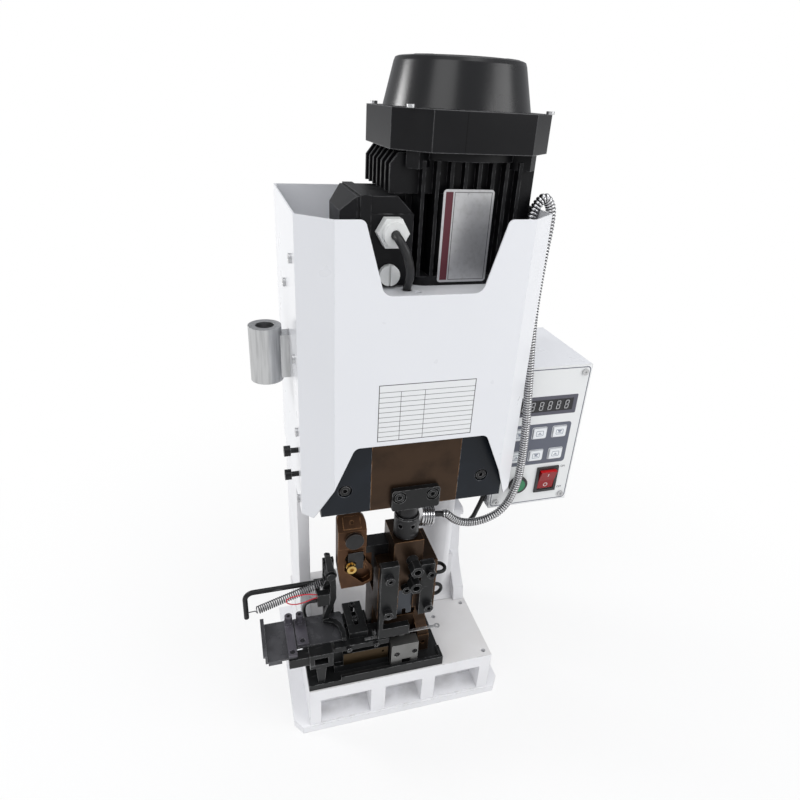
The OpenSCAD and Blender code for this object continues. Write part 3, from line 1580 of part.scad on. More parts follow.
pivot_x = -76;
pivot_z = 184;
lever_y = [15, 20];
hub_r = 6.5;
hub_bore = 3;
hub_lip = 0.6;
finger_low = 117;
finger_h = 4;
lever_w = 15;
lever_reach = 9;
lever_h = 97;
lever_round = 6;
finger_l = 35;
finger_w = 21;

// Outline of the lever from its lower left corner: shares of its width and of its height
lever_shares = [[0.9, 0.732], [0.567, 0.98], [0.133, 1], [0.2, 0.938], [0.367, 0.732], [0.6, 0.526],
    [0.567, 0.34], [0, 0.072], [0, 0], [0.433, 0], [0.433, 0.062], [1, 0.34], [1, 0.526]];
lever_round_shares = [0, 0.33, 0.33, 0.33, 0, 0.33, 1, 0.5, 0, 0, 0.5, 1, 0.33];
// Outline of the finger from its front left corner: shares of its width and of its length
finger_shares = [[0, 1], [0, 0.8], [0.476, 0.686], [0.69, 0.486], [0.762, 0.257], [0.762, 0], [0.976, 0],
    [1, 0.286], [0.905, 0.6], [0.667, 0.8], [0.31, 0.914], [0.31, 1]];
finger_round_shares = [0, 0.33, 0.5, 0.5, 0.5, 0, 0, 0.5, 0.66, 0.66, 0, 0];

// Bent lever: upper arm, hub, a bar that slants down to the left, and a finger on the plate
module feed_lever() {
    x0 = pivot_x - lever_reach;
    color("#212326") difference() {
        union() {
            bar_y(hub_r, pivot_x, [lever_y[0] - hub_lip, lever_y[1]], pivot_z);
            plate_y(lever_y) polygon(rounded([for (p = lever_shares)
                [x0 + lever_w * p[0], finger_low + lever_h * p[1]]], lever_round * lever_round_shares));
            plate_z([finger_low, finger_low + finger_h]) polygon(rounded([for (p = finger_shares)
                [x0 + finger_w * p[0], lever_y[1] - finger_l * (1 - p[1])]],
                lever_round * finger_round_shares));
        }
        bar_y(hub_bore + run_gap, pivot_x, [lever_y[0] - 2 * cut, lever_y[1] + cut], pivot_z);
    }
}

bracket_x = [-82, -70];
post_y = [30.5, 36];
rod_r = 2.7;
rod_x = -166.5;
rod_y = 23.5;
rod_z = 170;
rod_bend = 9;
rod_low = 135;
hoop_r = 2;
hoop_bend = 7;
hoop_reach = 6;
sensor_x = [-92, -79];
sensor_y = [5, 13];
sensor_z = [152, 168];
sensor_arm_z = [156, 163];
sensor_arm_t = 5;
upper_hoop = [-4, 190];
lower_hoop = [-5, 160];
post_over = 8;
rod_boss = 1;
pin_out = 3;
sensor_holes = [[9, 158, 2.6], [9, 162.5, 1], [9, 166, 1]];
sensor_deep = 3.5;

// Bent rod: straight along X, a quarter bend, then down
module bent_rod() {
    bar_x(rod_r, [rod_x + rod_bend, bracket_x[1] - hub_r], rod_y, rod_z);
    translate([rod_x + rod_bend, rod_y, rod_z - rod_bend]) rotate([90, 0, 0])
        rotate([0, 0, 90]) rotate_extrude(angle = 90) translate([rod_bend, 0]) circle(r = rod_r, $fn = corner_n);
    bar_z(rod_r, rod_x, rod_y, [rod_low, rod_z - rod_bend]);
}

// Hoop of round wire with its two legs on the frame's right side
module hoop(x0, reach, bend) {
    translate([x0 + reach, 0, 0]) rotate([0, 0, -90]) rotate_extrude(angle = 180)
        translate([bend, 0]) circle(r = hoop_r, $fn = corner_n);
    for (side = [-1, 1])
        translate([x0, side * bend, 0]) rotate([0, 90, 0]) cylinder(r = hoop_r, h = reach);
}

module wire_forms() {
    reach = hoop_reach;
    pin_front = lever_y[0] - pin_out;
    color("#232529") {
        union() {
            span(bracket_x, post_y, [app_z, pivot_z + post_over]);
            span([bracket_x[0] - rod_boss, bracket_x[1]], [rod_y - rod_r, post_y[0]],
                [rod_z - rod_r - rod_boss, rod_z + rod_r + rod_boss]);
            bar_y(hub_bore, pivot_x, [pin_front, post_y[0]], pivot_z);
            bar_y(0.85 * hub_r, pivot_x, [lever_y[1] + near_gap, post_y[0]], pivot_z);
            bar_y(0.7 * hub_r, pivot_x, [pin_front, lever_y[0] - hub_lip - near_gap], pivot_z);
            bent_rod();
            span([sensor_x[0], bracket_x[0]], post_y, sensor_arm_z);
            span([sensor_x[0], sensor_x[0] + sensor_arm_t], [sensor_y[1], post_y[1]], sensor_arm_z);
        }
        translate([0, upper_hoop[0], upper_hoop[1]]) hoop(frame_cheek_r[1], reach, hoop_bend);
        translate([0, lower_hoop[0], lower_hoop[1]]) rotate([90, 0, 0])
            hoop(frame_cheek_r[1], 0.7 * reach, hoop_bend);
        difference() {
            span(sensor_x, sensor_y, sensor_z);
            for (h = sensor_holes)
                bar_x(h[2], [sensor_x[0] - cut, sensor_x[0] + sensor_deep], h[0], h[1]);
        }
    }
}

// Extension spring between the bent rod and the tail of the feed lever
spring_a = [-158.5, 16.5, 149.5];
spring_b = [-81, 15.5, 177];
spring_eye_a = [-163.4, 21.4, 144.5];
spring_eye_b = [-80.3, 16.5, 177.8];
coil_r = 3.9;
spring_wire_r = 0.6;
hook_l = 4;
per_curl = 8;

module feed_spring() {
    axis = unit(spring_b - spring_a);
    s = unit(cross(axis, [0, 0, 1]));
    u = cross(s, axis);
    body_l = norm(spring_b - spring_a) - 2 * hook_l;
    steps = curls * per_curl;
    coil = [for (k = [0 : steps]) let (a = 360 * k / per_curl)
        spring_a + axis * (hook_l + body_l * k / steps) + coil_r * (cos(a) * s + sin(a) * u)];
    line = concat([spring_eye_a, spring_a + 0.4 * hook_l * axis], coil,
        [spring_b - 0.4 * hook_l * axis, spring_eye_b]);
    last = len(line) - 1;
    rings = [for (k = [0 : last])
        ring_at(line[k], unit(line[min(k + 1, last)] - line[max(k - 1, 0)]), spring_wire_r, 6,
            k < 2 || k > last - 2 ? s : axis)];
    echo(spring_gap = body_l / curls - 2 * spring_wire_r);
    color("gray") ring_skin(rings, 6);
}

// Red wire of the strip sensor, a loop with both ends in the sensor
wire_r = 0.6;
wire_route = [[-90, 9, 166], [-94, 9, 166.8], [-101, 9, 169], [-110, 9, 169.5], [-119, 9, 168.5],
    [-124, 9, 166], [-124, 9, 162], [-119, 9, 158.5], [-112, 9, 157.5], [-104, 9, 159], [-96, 9, 161.5],
    [-90, 9, 162.5]];

module sensor_wire() {
    color("crimson") cable(wire_route, wire_r, 8, 44, [0, 1, 0]);
}

// Small zinc screws of the covers, the panel, the terminal box and the motor

band_screw_share = 0.98;

module pan_head_screws() {
    box_cols = [box_x[0] + corner_screw, box_x[1] - corner_screw];
    box_rows = [box_z + corner_screw, box_z + box_h - corner_screw];
    band_screw = band_screw_share * band_half * sqrt(2) - 0.5 * band_cut;
    color("silver") {
        for (side = [-1, 1], p = side_screws)
            pan_screw_x(side, side * 0.5 * cover_w, p[0], p[1]);
        for (x = box_cols, z = box_rows) difference() {
            bar_y(0.9 * pan_r, x, [box_y - 0.8 * pan_h, box_y], z);
            bar_y(pan_slot_r, x, [box_y - pan_h, box_y - 0.4 * pan_h], z);
        }
        for (a = [45 : 90 : 315])
            bar_z(0.8 * pan_r, motor_x + band_screw * cos(a), motor_y + band_screw * sin(a),
                [fan_z, fan_z + pan_h]);
    }
}

base_casting();
left_column();
right_column();
head_casting();
ram_guide_plates();
socket_screws();
front_cover();
rear_cover();
pan_head_screws();
motor_deck();
motor_body();
motor_band();
fan_cover();
terminal_box();
terminal_box_lid();
box_fittings();
cables();
nameplate();
motor_rotor();
worm_wheel();
crank_shaft();
shaft_bearings();
press_ram();
ram_retainer();
ram_fasteners();
reel_arm_sleeve();
control_box();
control_panel();
display_window();
keycap(0);  // key_1
keycap(1);  // key_2
keycap(2);  // key_3
keycap(3);  // key_4
keycap(4);  // key_5
keycap(5);  // key_6
green_button();
switch_bezels();
rocker_switch();
side_brackets();
lamp_hose();
lamp_head();
applicator_base();
applicator_frame();
applicator_guides();
applicator_ram();
ram_post();
adjusting_dial();
crimpers();
anvil_block();
feed_track();
strip_guide();
feed_plate();
clamp_bars();
terminal_strip();
feed_cam();
brass_knob();
feed_lever();
feed_spring();
wire_forms();
sensor_wire();
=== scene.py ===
from functools import reduce
from math import cos, pi, radians, sin

import bpy
from mathutils import Matrix, Vector


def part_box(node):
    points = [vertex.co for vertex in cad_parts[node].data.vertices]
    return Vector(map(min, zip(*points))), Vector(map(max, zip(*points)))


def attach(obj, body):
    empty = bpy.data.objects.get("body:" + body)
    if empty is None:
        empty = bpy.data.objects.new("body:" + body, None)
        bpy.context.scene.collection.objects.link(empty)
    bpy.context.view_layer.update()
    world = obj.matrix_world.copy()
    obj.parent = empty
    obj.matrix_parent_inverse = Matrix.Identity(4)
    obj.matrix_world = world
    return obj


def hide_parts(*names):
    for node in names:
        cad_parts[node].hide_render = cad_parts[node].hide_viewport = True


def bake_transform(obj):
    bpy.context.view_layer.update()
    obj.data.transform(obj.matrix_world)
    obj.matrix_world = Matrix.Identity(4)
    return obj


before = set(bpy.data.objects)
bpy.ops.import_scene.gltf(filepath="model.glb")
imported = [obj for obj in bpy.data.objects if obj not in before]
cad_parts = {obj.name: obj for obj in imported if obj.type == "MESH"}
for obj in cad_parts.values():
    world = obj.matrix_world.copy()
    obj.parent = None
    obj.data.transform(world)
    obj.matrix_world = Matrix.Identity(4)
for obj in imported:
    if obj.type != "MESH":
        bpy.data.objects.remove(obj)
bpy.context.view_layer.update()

scene = bpy.context.scene
scene.view_settings.view_transform = "Standard"
bpy.ops.object.select_all(action="DESELECT")

# Camera
# A hand-held camera in front of the machine, a little above the middle and to the left, looking
# down and slightly turned about its own line of sight. Its turns are in radians.
mm = 0.001
camera_place = Vector((-157.53, -459.63, 645.73)) * mm
turn_right, tip, roll = 0.3019161, -0.4743685, 0.0570196
focal_pixels, picture_width, film_width = 592.55, 800, 36
look = Vector((sin(turn_right) * cos(tip), cos(turn_right) * cos(tip), sin(tip)))
level = Vector((cos(turn_right), -sin(turn_right), 0))
upright = level.cross(look)
side_of_view = level * cos(roll) + upright * sin(roll)
top_of_view = upright * cos(roll) - level * sin(roll)
view = Matrix((side_of_view, top_of_view, -look)).transposed().to_4x4()
view.translation = camera_place
lens = bpy.data.cameras.new("camera")
lens.sensor_width = film_width
lens.lens = focal_pixels / picture_width * film_width
lens.clip_start = 10 * mm
camera = bpy.data.objects.new("camera", lens)
camera.matrix_world = view
scene.collection.objects.link(camera)
scene.camera = camera

# Cables of the motor, the control box and the strip sensor
# Round black rubber sheaths, bent by hand between their glands, drawn through the same points
# as their solids. Each goes from one housing straight back into another.


def smooth_route(points, steps=6):
    """The points, in millimetres, joined by one smooth line; the answer is in metres."""
    points = [Vector(p) * mm for p in points]
    first, last = 2 * points[0] - points[1], 2 * points[-1] - points[-2]
    knots = [first, *points, last]
    line = []
    for k in range(1, len(knots) - 2):
        a, b, c, d = knots[k - 1:k + 3]
        for i in range(steps):
            t = i / steps
            line.append(0.5 * (2 * b + (c - a) * t + (2 * a - 5 * b + 4 * c - d) * t * t
                               + (3 * b - a - 3 * c + d) * t * t * t))
    line.append(points[-1])
    return line


def drawn_round(name, line, radius, swell=None, sides=3):
    """A round bar drawn along a line, closed at both ends, made a mesh; its radius in mm."""
    curve = bpy.data.curves.new(name, "CURVE")
    curve.dimensions = "3D"
    curve.bevel_depth = radius * mm
    curve.bevel_resolution = sides
    curve.use_fill_caps = True
    spline = curve.splines.new("POLY")
    spline.points.add(len(line) - 1)
    for i, place in enumerate(line):
        spline.points[i].co = (*place, 1)
        spline.points[i].radius = swell[i] if swell else 1
    piece = bpy.data.objects.new(name, curve)
    scene.collection.objects.link(piece)
    bpy.ops.object.select_all(action="DESELECT")
    piece.select_set(True)
    bpy.context.view_layer.objects.active = piece
    bpy.ops.object.convert(target="MESH")
    piece = bpy.context.view_layer.objects.active
    bpy.ops.object.mode_set(mode="EDIT")
    bpy.ops.mesh.select_all(action="SELECT")
    bpy.ops.mesh.remove_doubles(threshold=0.001 * mm)
    bpy.ops.mesh.normals_make_consistent(inside=False)
    bpy.ops.object.mode_set(mode="OBJECT")
    bpy.ops.object.shade_smooth_by_angle(angle=radians(50))
    piece.select_set(False)
    return piece


def length_of(line):
    """The length of a line of points."""
    return sum((b - a).length for a, b in zip(line, line[1:]))


class Amount:
    """A number that varies over a surface, held by the socket that gives it."""

    def __init__(self, finish, socket):
        self.finish = finish
        self.socket = socket

    def math(self, operation, *others, first=None, clamp=False):
        values = [self if first is None else first, *others]
        node = self.finish.node("ShaderNodeMath", {"operation": operation, "use_clamp": clamp},
                                dict(enumerate(values)))
        return Amount(self.finish, node.outputs[0])

    def __add__(self, other):
        return self.math("ADD", other)

    __radd__ = __add__

    def __sub__(self, other):
        return self.math("SUBTRACT", other)

    def __rsub__(self, other):
        return self.math("SUBTRACT", self, first=other)

    def __mul__(self, other):
        return self.math("MULTIPLY", other)

    __rmul__ = __mul__

    def __abs__(self):
        return self.math("ABSOLUTE")

    def limited(self):
        return self.math("ADD", 0.0, clamp=True)

    def most(self, other):
        return self.math("MAXIMUM", other)

    def least(self, other):
        return self.math("MINIMUM", other)

    def rise(self, low, high):
        """0 below low, 1 above high, and smooth between them."""
        node = self.finish.node("ShaderNodeMapRange", {"interpolation_type": "SMOOTHSTEP"},
                                {0: self, 1: low, 2: high, 3: 0.0, 4: 1.0})
        return Amount(self.finish, node.outputs[0])

    def past(self, limit, soft=0.1):
        """0 before a limit and 1 past it, with a soft change of that half width."""
        return self.rise(limit - soft, limit + soft)

    def within(self, low, high, soft=0.15):
        return self.past(low, soft) * (1 - self.past(high, soft))


class Finish:
    """A finish of the machine: its colour, gloss and grain, built up in layers.

    Places, radii and heights are in millimetres.
    """

    def __init__(self, name, colour, roughness=0.5, metallic=0.0, **fixed):
        self.material = bpy.data.materials.new(name)
        self.material.use_nodes = True
        self.tree = self.material.node_tree
        self.shader = self.tree.nodes["Principled BSDF"]
        self.skin = (*colour, 1)
        self.gloss = roughness
        self.metal = metallic
        self.shader.inputs["Base Color"].default_value = self.skin
        self.shader.inputs["Roughness"].default_value = roughness
        self.shader.inputs["Metallic"].default_value = metallic
        for socket, value in fixed.items():
            self.shader.inputs[socket.replace("_", " ")].default_value = value
        self.place = self.node("ShaderNodeTexCoord").outputs["Object"]
        self.facing = self.node("ShaderNodeNewGeometry").outputs["Normal"]
        self.relief = None

    def node(self, kind, settings=None, sockets=None):
        node = self.tree.nodes.new(kind)
        for key, value in (settings or {}).items():
            setattr(node, key, value)
        for key, value in (sockets or {}).items():
            self.join(node.inputs[key], value)
        return node

    def join(self, socket, value):
        if isinstance(value, Amount):
            self.tree.links.new(value.socket, socket)
        elif isinstance(value, bpy.types.NodeSocket):
            self.tree.links.new(value, socket)
        else:
            socket.default_value = value

    def axes(self, vector=None):
        """The three parts of a vector; of the place, in millimetres."""
        parts = self.node("ShaderNodeSeparateXYZ", None, {0: vector or self.place}).outputs
        scale = 1.0 if vector else 1000.0
        return [Amount(self, part) * scale for part in parts]

    def noise(self, scale, detail=2.0, stretch=None):
        place = self.place
        if stretch:
            place = self.node("ShaderNodeVectorMath", {"operation": "MULTIPLY"},
                              {0: place, 1: stretch}).outputs[0]
        node = self.node("ShaderNodeTexNoise", None,
                         {"Vector": place, "Scale": scale, "Detail": detail})
        return Amount(self, node.outputs[0])

    def cells(self, scale):
        """The distance to the nearest of many scattered spots."""
        node = self.node("ShaderNodeTexVoronoi", None, {"Vector": self.place, "Scale": scale})
        return Amount(self, node.outputs[0])

    def edges(self, radius):
        """1 on the sharp edges of a piece, 0 on its flats."""
        rounded = self.node("ShaderNodeBevel", {"samples": 6}, {"Radius": radius * mm}).outputs[0]
        dot = self.node("ShaderNodeVectorMath", {"operation": "DOT_PRODUCT"},
                        {0: rounded, 1: self.facing})
        return (1 - Amount(self, dot.outputs["Value"])) * 6.0

    def groove_shade(self, reach):
        """1 deep in the grooves of a piece, 0 where it is open; it marks where shade is painted
        into the grooves.
        """
        open_share = self.node("ShaderNodeAmbientOcclusion", {"samples": 8},
                               {"Distance": reach * mm})
        return 1 - Amount(self, open_share.outputs["AO"]).rise(0.62, 0.93)

    def colour(self, mask, under, over):
        """One colour under another where the mask is 1."""
        mixed = self.node("ShaderNodeMix", {"data_type": "RGBA"}, {0: mask, 6: under, 7: over})
        return mixed.outputs[2]

    def over(self, mask, colour, roughness=None, metallic=None):
        """Lays a colour over what is there where the mask says, with its own gloss."""
        if isinstance(colour, tuple):
            colour = (*colour, 1)
        self.skin = self.colour(mask, self.skin, colour)
        self.join(self.shader.inputs["Base Color"], self.skin)
        if roughness is not None:
            self.gloss = mask * roughness + (1 - mask) * self.gloss
            self.join(self.shader.inputs["Roughness"], self.gloss)
        if metallic is not None:
            self.metal = mask * metallic + (1 - mask) * self.metal
            self.join(self.shader.inputs["Metallic"], self.metal)

    def vary_gloss(self, amount):
        self.gloss = amount + self.gloss
        self.join(self.shader.inputs["Roughness"], self.gloss)

    def rounding(self, radius):
        """Softens the light on sharp edges, as a broken edge does."""
        bevel = self.node("ShaderNodeBevel", {"samples": 4}, {"Radius": radius * mm})
        self.relief = bevel.outputs[0]
        self.join(self.shader.inputs["Normal"], self.relief)

    def grain(self, height, depth, strength=1.0):
        """Raises the surface by up to the depth where the height is 1."""
        sockets = {"Height": height, "Distance": depth * mm, "Strength": strength}
        if self.relief is not None:
            sockets["Normal"] = self.relief
        self.relief = self.node("ShaderNodeBump", None, sockets).outputs[0]
        self.join(self.shader.inputs["Normal"], self.relief)

    def onto(self, *pieces):
        for piece in pieces:
            if isinstance(piece, str):
                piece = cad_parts[piece]
            if not piece.material_slots:
                piece.data.materials.append(self.material)
            for slot in piece.material_slots:
                slot.link = "OBJECT"
                slot.material = self.material


sheath = Finish("cable_sheath", (0.008, 0.008, 0.009), 0.45)
sheath.grain(sheath.noise(900, 3), 0.06)
sheath.over(sheath.noise(60, 3).rise(0.5, 0.8) * 0.5, (0.035, 0.034, 0.033), 0.68)
routes = {
    "motor_cable": (3.6, [(-26, 13, 547), (-26, 5, 547), (-26, -3, 547), (-24.2, -9.5, 543.5),
                          (-19.5, -11.5, 535), (-15.5, -9, 524.5), (-12.8, -3.5, 514.5),
                          (-12, 3, 507), (-12, 6, 501), (-12, 6, 494)]),
    "box_cable": (2.7, [(110.5, 45, 243.5), (107, 45, 240), (104, 45, 231), (100.5, 45, 221),
                        (97, 45.5, 211), (93, 50, 201), (89, 59, 194), (86, 68, 191.5),
                        (85, 75, 191)]),
    "sensor_cable": (2.16, [(-91.5, 9, 158), (-95, 9.5, 157.7), (-100, 15, 152),
                            (-103, 24, 140), (-104, 31, 127), (-103, 34.5, 112),
                            (-99, 36.5, 98), (-95, 37.5, 86), (-94, 37.5, 80),
                            (-94, 37.5, 72.3)])}
for name, (radius, points) in routes.items():
    line = smooth_route(points)
    cable = drawn_round(name, line, radius)
    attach(cable, "frame")
    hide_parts("cables")
    length_of(line)
    sheath.onto(cable)

# Red wire of the strip sensor
# A thin insulated wire in one long flat loop, with both ends back in the sensor's block. Its
# red cover is smooth and has darkened a little in places.
wire_line = smooth_route([(-90, 9, 166), (-94, 9, 166.8), (-101, 9, 169), (-110, 9, 169.5),
                          (-119, 9, 168.5), (-124, 9, 166), (-124, 9, 162), (-119, 9, 158.5),
                          (-112, 9, 157.5), (-104, 9, 159), (-96, 9, 161.5), (-90, 9, 162.5)])
wire_radius = 0.6
red_wire = drawn_round("red_wire", wire_line, wire_radius)
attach(red_wire, "frame")
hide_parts("sensor_wire")
length_of(wire_line)
red_skin = Finish("red_insulation", (0.62, 0.02, 0.045), 0.35)
red_skin.over(red_skin.noise(250, 2).rise(0.4, 0.7) * 0.4, (0.4, 0.012, 0.03))
red_skin.onto(red_wire)

# Base and columns
# Grey iron castings in thick white paint: the foot with its three pockets, the flat left
# column and the rounded right one. The top face of the foot is painted darker and warmer in
# patches, with a duller gloss.


def cast_paint(name, colour):
    finish = Finish(name, colour, 0.42, Coat_Weight=0.25, Coat_Roughness=0.3)
    finish.rounding(1.2)
    finish.grain(finish.noise(420, 3) * 0.7 + finish.noise(90, 2), 0.22, 0.5)
    soft = tuple(c * 0.87 for c in colour)
    finish.over(finish.noise(14, 4).rise(0.42, 0.75) * 0.5, soft)
    specks = 1 - finish.cells(230).rise(0.04, 0.085)
    finish.over(specks * finish.noise(40, 2).rise(0.55, 0.7) * 0.7, (0.2, 0.19, 0.18))
    finish.vary_gloss(finish.noise(55, 3) * 0.18 - 0.09)
    return finish


def box_mm(piece):
    """The lowest and highest corner of a piece, in millimetres."""
    return [Vector(corner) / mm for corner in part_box(piece)]


foot = cast_paint("foot_paint", (0.86, 0.86, 0.88))
x, y, z = foot.axes()
facing_up = foot.axes(foot.facing)[2]
foot_top = box_mm("base_casting")[1].z
# The top face of the foot is painted darker and warmer in patches, with a duller gloss.
foot.over(facing_up.rise(0.8, 0.95) * z.rise(foot_top - 1, foot_top - 0.4)
          * (foot.noise(30, 4) * 0.6 + 0.25), (0.70, 0.68, 0.66), 0.5)
pockets_x, pockets_z = (-96, 95), (9.5, 48)
# The lower part of the pockets, set back from their front, is painted darker in blotches that
# fade upwards.
pocket_dark_front, pocket_dark_back, pocket_dark_fade = (-28, -16), (-7, -4), (12, 40)
foot.over(y.rise(*pocket_dark_front) * (1 - y.rise(*pocket_dark_back)) * (1 - z.rise(*pocket_dark_fade))
          * x.within(*pockets_x) * z.within(*pockets_z)
          * foot.noise(50, 3).rise(0.3, 0.8) * 0.5, (0.42, 0.41, 0.4))
foot.over(foot.edges(1.2).limited() * foot.noise(120, 3).rise(0.52, 0.62) * 0.8,
          (0.55, 0.55, 0.54), 0.5)
foot.onto("base_casting")
column = cast_paint("column_paint", (0.83, 0.83, 0.85))
column.over(column.edges(1.2).limited() * column.noise(120, 3).rise(0.55, 0.65) * 0.7,
            (0.5, 0.5, 0.5))
column.onto("left_column", "right_column")

# Head casting
# The machined iron head that holds the crank, seen only at its edges behind the covers. Its
# faces are milled, with fine straight tool marks under a film of oil.
milled = Finish("milled_iron", (0.33, 0.33, 0.34), 0.36, 0.85)
milled.rounding(0.8)
milled.grain(milled.noise(260, 2, (1, 12, 1)) + milled.noise(40, 2) * 0.3, 0.05, 0.6)
milled.over(milled.noise(24, 4).rise(0.45, 0.8), (0.2, 0.2, 0.205), 0.5)
milled.over(milled.edges(1).limited() * 0.7, (0.55, 0.55, 0.56), 0.25)
milled.onto("head_casting")

# Guide plates of the ram
# Two ground plates in satin blue-black, screwed to the head either side of the ram, with the
# grinding marks running down them and bright worn corners.
blued = Finish("blued_plate", (0.006, 0.009, 0.014), 0.34, 0.1, Specular_IOR_Level=0.25)
blued.rounding(0.6)
blued.grain(blued.noise(500, 2, (1, 1, 0.08)), 0.03, 0.6)
blued.over(blued.noise(35, 4).rise(0.45, 0.75) * 0.6, (0.010, 0.014, 0.021), 0.42)
blued.over(blued.edges(0.9).limited() * blued.noise(160, 3).rise(0.4, 0.62), (0.3, 0.31, 0.33),
           0.25, 0.9)
blued.onto("ram_guide_plates")

# Screws and black steel parts
# Alloy steel in black oxide: it is nearly black on the flats, rubbed to bright steel on the
# edges and rims, with a film of oil that dulls in patches.


def black_oxide(name, colour, roughness=0.36, wear=0.8, scale=1.0):
    finish = Finish(name, colour, roughness, 0.25, Specular_IOR_Level=0.32)
    finish.rounding(0.4 * scale)
    finish.grain(finish.noise(700, 3) + finish.noise(140, 2) * 0.6, 0.04, 0.6)
    soft = tuple(c * 2.0 for c in colour)
    finish.over(finish.noise(45, 4).rise(0.42, 0.75) * 0.7, soft, roughness + 0.12)
    scratch = finish.noise(220, 2, (0.15, 1, 1)).rise(0.66, 0.72)
    finish.over(scratch * 0.35, (0.16, 0.16, 0.165), roughness)
    worn = finish.edges(0.7 * scale).limited() * finish.noise(190, 3).rise(0.34, 0.6)
    finish.over(worn * wear, (0.46, 0.46, 0.465), 0.24, 0.95)
    return finish


tool_black = black_oxide("tool_black", (0.010, 0.0105, 0.011))
tool_black.onto("ram_retainer", "applicator_base", "applicator_guides", "strip_guide",
                "feed_lever", "wire_forms", "ram_fasteners")
screw_black = black_oxide("screw_black", (0.012, 0.012, 0.013), 0.3, 1.0, 0.8)
screw_black.onto("socket_screws", "ram_post")

# Ram, applicator frame and cam
# Steel in a warm brown oxide, with copper-coloured corners that are painted highlight mixed
# with wear, and darker smears of oil on the slides. The boss, the arm and the holder of the
# cam are black, and its pocket is painted black as shade.


def brown_oxide(name, colour):
    finish = Finish(name, colour, 0.34, 0.8)
    finish.rounding(0.5)
    finish.grain(finish.noise(480, 3, (1, 1, 0.25)) + finish.noise(110, 2) * 0.5, 0.05, 0.7)
    finish.over(finish.noise(38, 4).rise(0.4, 0.72) * 0.75, tuple(c * 0.45 for c in colour), 0.46)
    finish.over(finish.noise(19, 3).rise(0.55, 0.75) * 0.5, tuple(c * 1.35 for c in colour), 0.3)
    # Painted highlight mixed with wear: the corners turn copper-coloured where the edges catch
    # the light.
    worn = finish.edges(1).limited() * finish.noise(150, 3).rise(0.3, 0.6)
    finish.over(worn * 0.85, (0.50, 0.27, 0.13), 0.24, 1.0)
    return finish


def far_from(u, v, centre):
    """How far a place is from a centre, in millimetres."""
    u, v = u - centre[0], v - centre[1]
    return (u * u + v * v).math("SQRT")


def any_of(masks):
    """1 where one of the masks is."""
    return reduce(Amount.most, masks)


ram_brown = brown_oxide("ram_brown", (0.050, 0.029, 0.017))
ram_brown.onto("press_ram", "applicator_ram", "applicator_frame")
cam_brown = brown_oxide("cam_brown", (0.085, 0.040, 0.019))
x, y, z = cam_brown.axes()
cam_front = box_mm("feed_cam")[0].y
boss_centre, boss_radius, boss_depth = (-54.5, 242), 9.55, 3.65
boss = 1 - far_from(x, z, boss_centre).past(boss_radius, 0.15)
boss = boss * (1 - y.past(cam_front + boss_depth, 0.25))
arm_left, shoulder_left, shoulder_low = -34, -41.3, 216.25
arm = x.past(arm_left).most(x.past(shoulder_left) * z.past(shoulder_low, 0.25))
holder_x, holder_z, holder_back = (-60.6, -44.4), (203, 225.2), -0.15
holder = x.within(*holder_x) * z.within(*holder_z) * (1 - y.past(holder_back, 0.15))
# Painted shade: the pocket of the cam is painted black where shade falls into it; the boss, arm
# and holder are black.
pocket_centre, pocket_radius, pocket_front, pocket_back = (-53, 214), 10.5, 0.6, 9.4
pocket_shade = 1 - far_from(x, z, pocket_centre).past(pocket_radius, 0.3)
pocket_shade = pocket_shade * y.past(pocket_front, 0.2) * (1 - y.past(pocket_back)) * x.rise(-64, -60)
black_parts_and_pocket_shade = any_of([boss, arm, holder, pocket_shade])
black_and_shade_skin = cam_brown.colour(cam_brown.noise(45, 4).rise(0.42, 0.75), (0.010, 0.010, 0.011, 1),
                              (0.020, 0.020, 0.021, 1))
cam_brown.over(black_parts_and_pocket_shade, black_and_shade_skin, 0.36, 0.4)
rubbed = cam_brown.edges(0.6).limited() * cam_brown.noise(190, 3).rise(0.34, 0.6)
cam_brown.over(black_parts_and_pocket_shade * rubbed * 0.8, (0.3, 0.3, 0.3), 0.28, 0.9)
cam_brown.onto("feed_cam")

# Covers, deck and box shell
# Folded steel sheet in smooth white enamel, with a faint orange peel, soft broken edges and
# faint grey patches. The front cover has a ruled table printed on it.


def enamel(name):
    colour = (0.80, 0.81, 0.84)
    finish = Finish(name, colour, 0.3, Coat_Weight=0.4, Coat_Roughness=0.15)
    finish.rounding(0.6)
    finish.grain(finish.noise(520, 2) + finish.noise(130, 2) * 0.5, 0.07, 0.35)
    finish.over(finish.noise(7, 3).rise(0.4, 0.8) * 0.35, tuple(c * 0.93 for c in colour))
    finish.vary_gloss(finish.noise(30, 3) * 0.14 - 0.07)
    finish.over(finish.edges(0.9).limited() * finish.noise(140, 3).rise(0.55, 0.66) * 0.6,
                (0.5, 0.5, 0.5))
    return finish


shell = enamel("shell_enamel")
shell.onto("rear_cover", "motor_deck", "control_box")
cover = enamel("cover_enamel")
x, y, z = cover.axes()
cover_front = box_mm("front_cover")[0].y
table_x, table_z = (-42.7, 45), (375, 430)
row_height, row_count, column_lines = 4.8, 10, (-23, -1.5)
half_line, border = 0.22, 0.7
sheet = (1 - y.past(cover_front + 1.35, 0.25)) * x.within(*table_x, 0.1) * z.within(*table_z, 0.1)
cover.over(sheet, (0.80, 0.81, 0.82), 0.42)


def ruling(across, place):
    return across.within(place - half_line, place + half_line, 0.12)


row_lines = [table_z[0] + row_height * (k + 1) for k in range(row_count)]
rulings = [ruling(z, place) for place in row_lines]
rulings += [ruling(x, place) * (1 - z.past(row_lines[-1])) for place in column_lines]
rulings.append(1 - x.within(table_x[0] + border, table_x[1] - border, 0.1)
               * z.within(table_z[0] + border, table_z[1] - border, 0.1))
cover.over(sheet * any_of(rulings), (0.02, 0.02, 0.022))
cover.onto("front_cover")

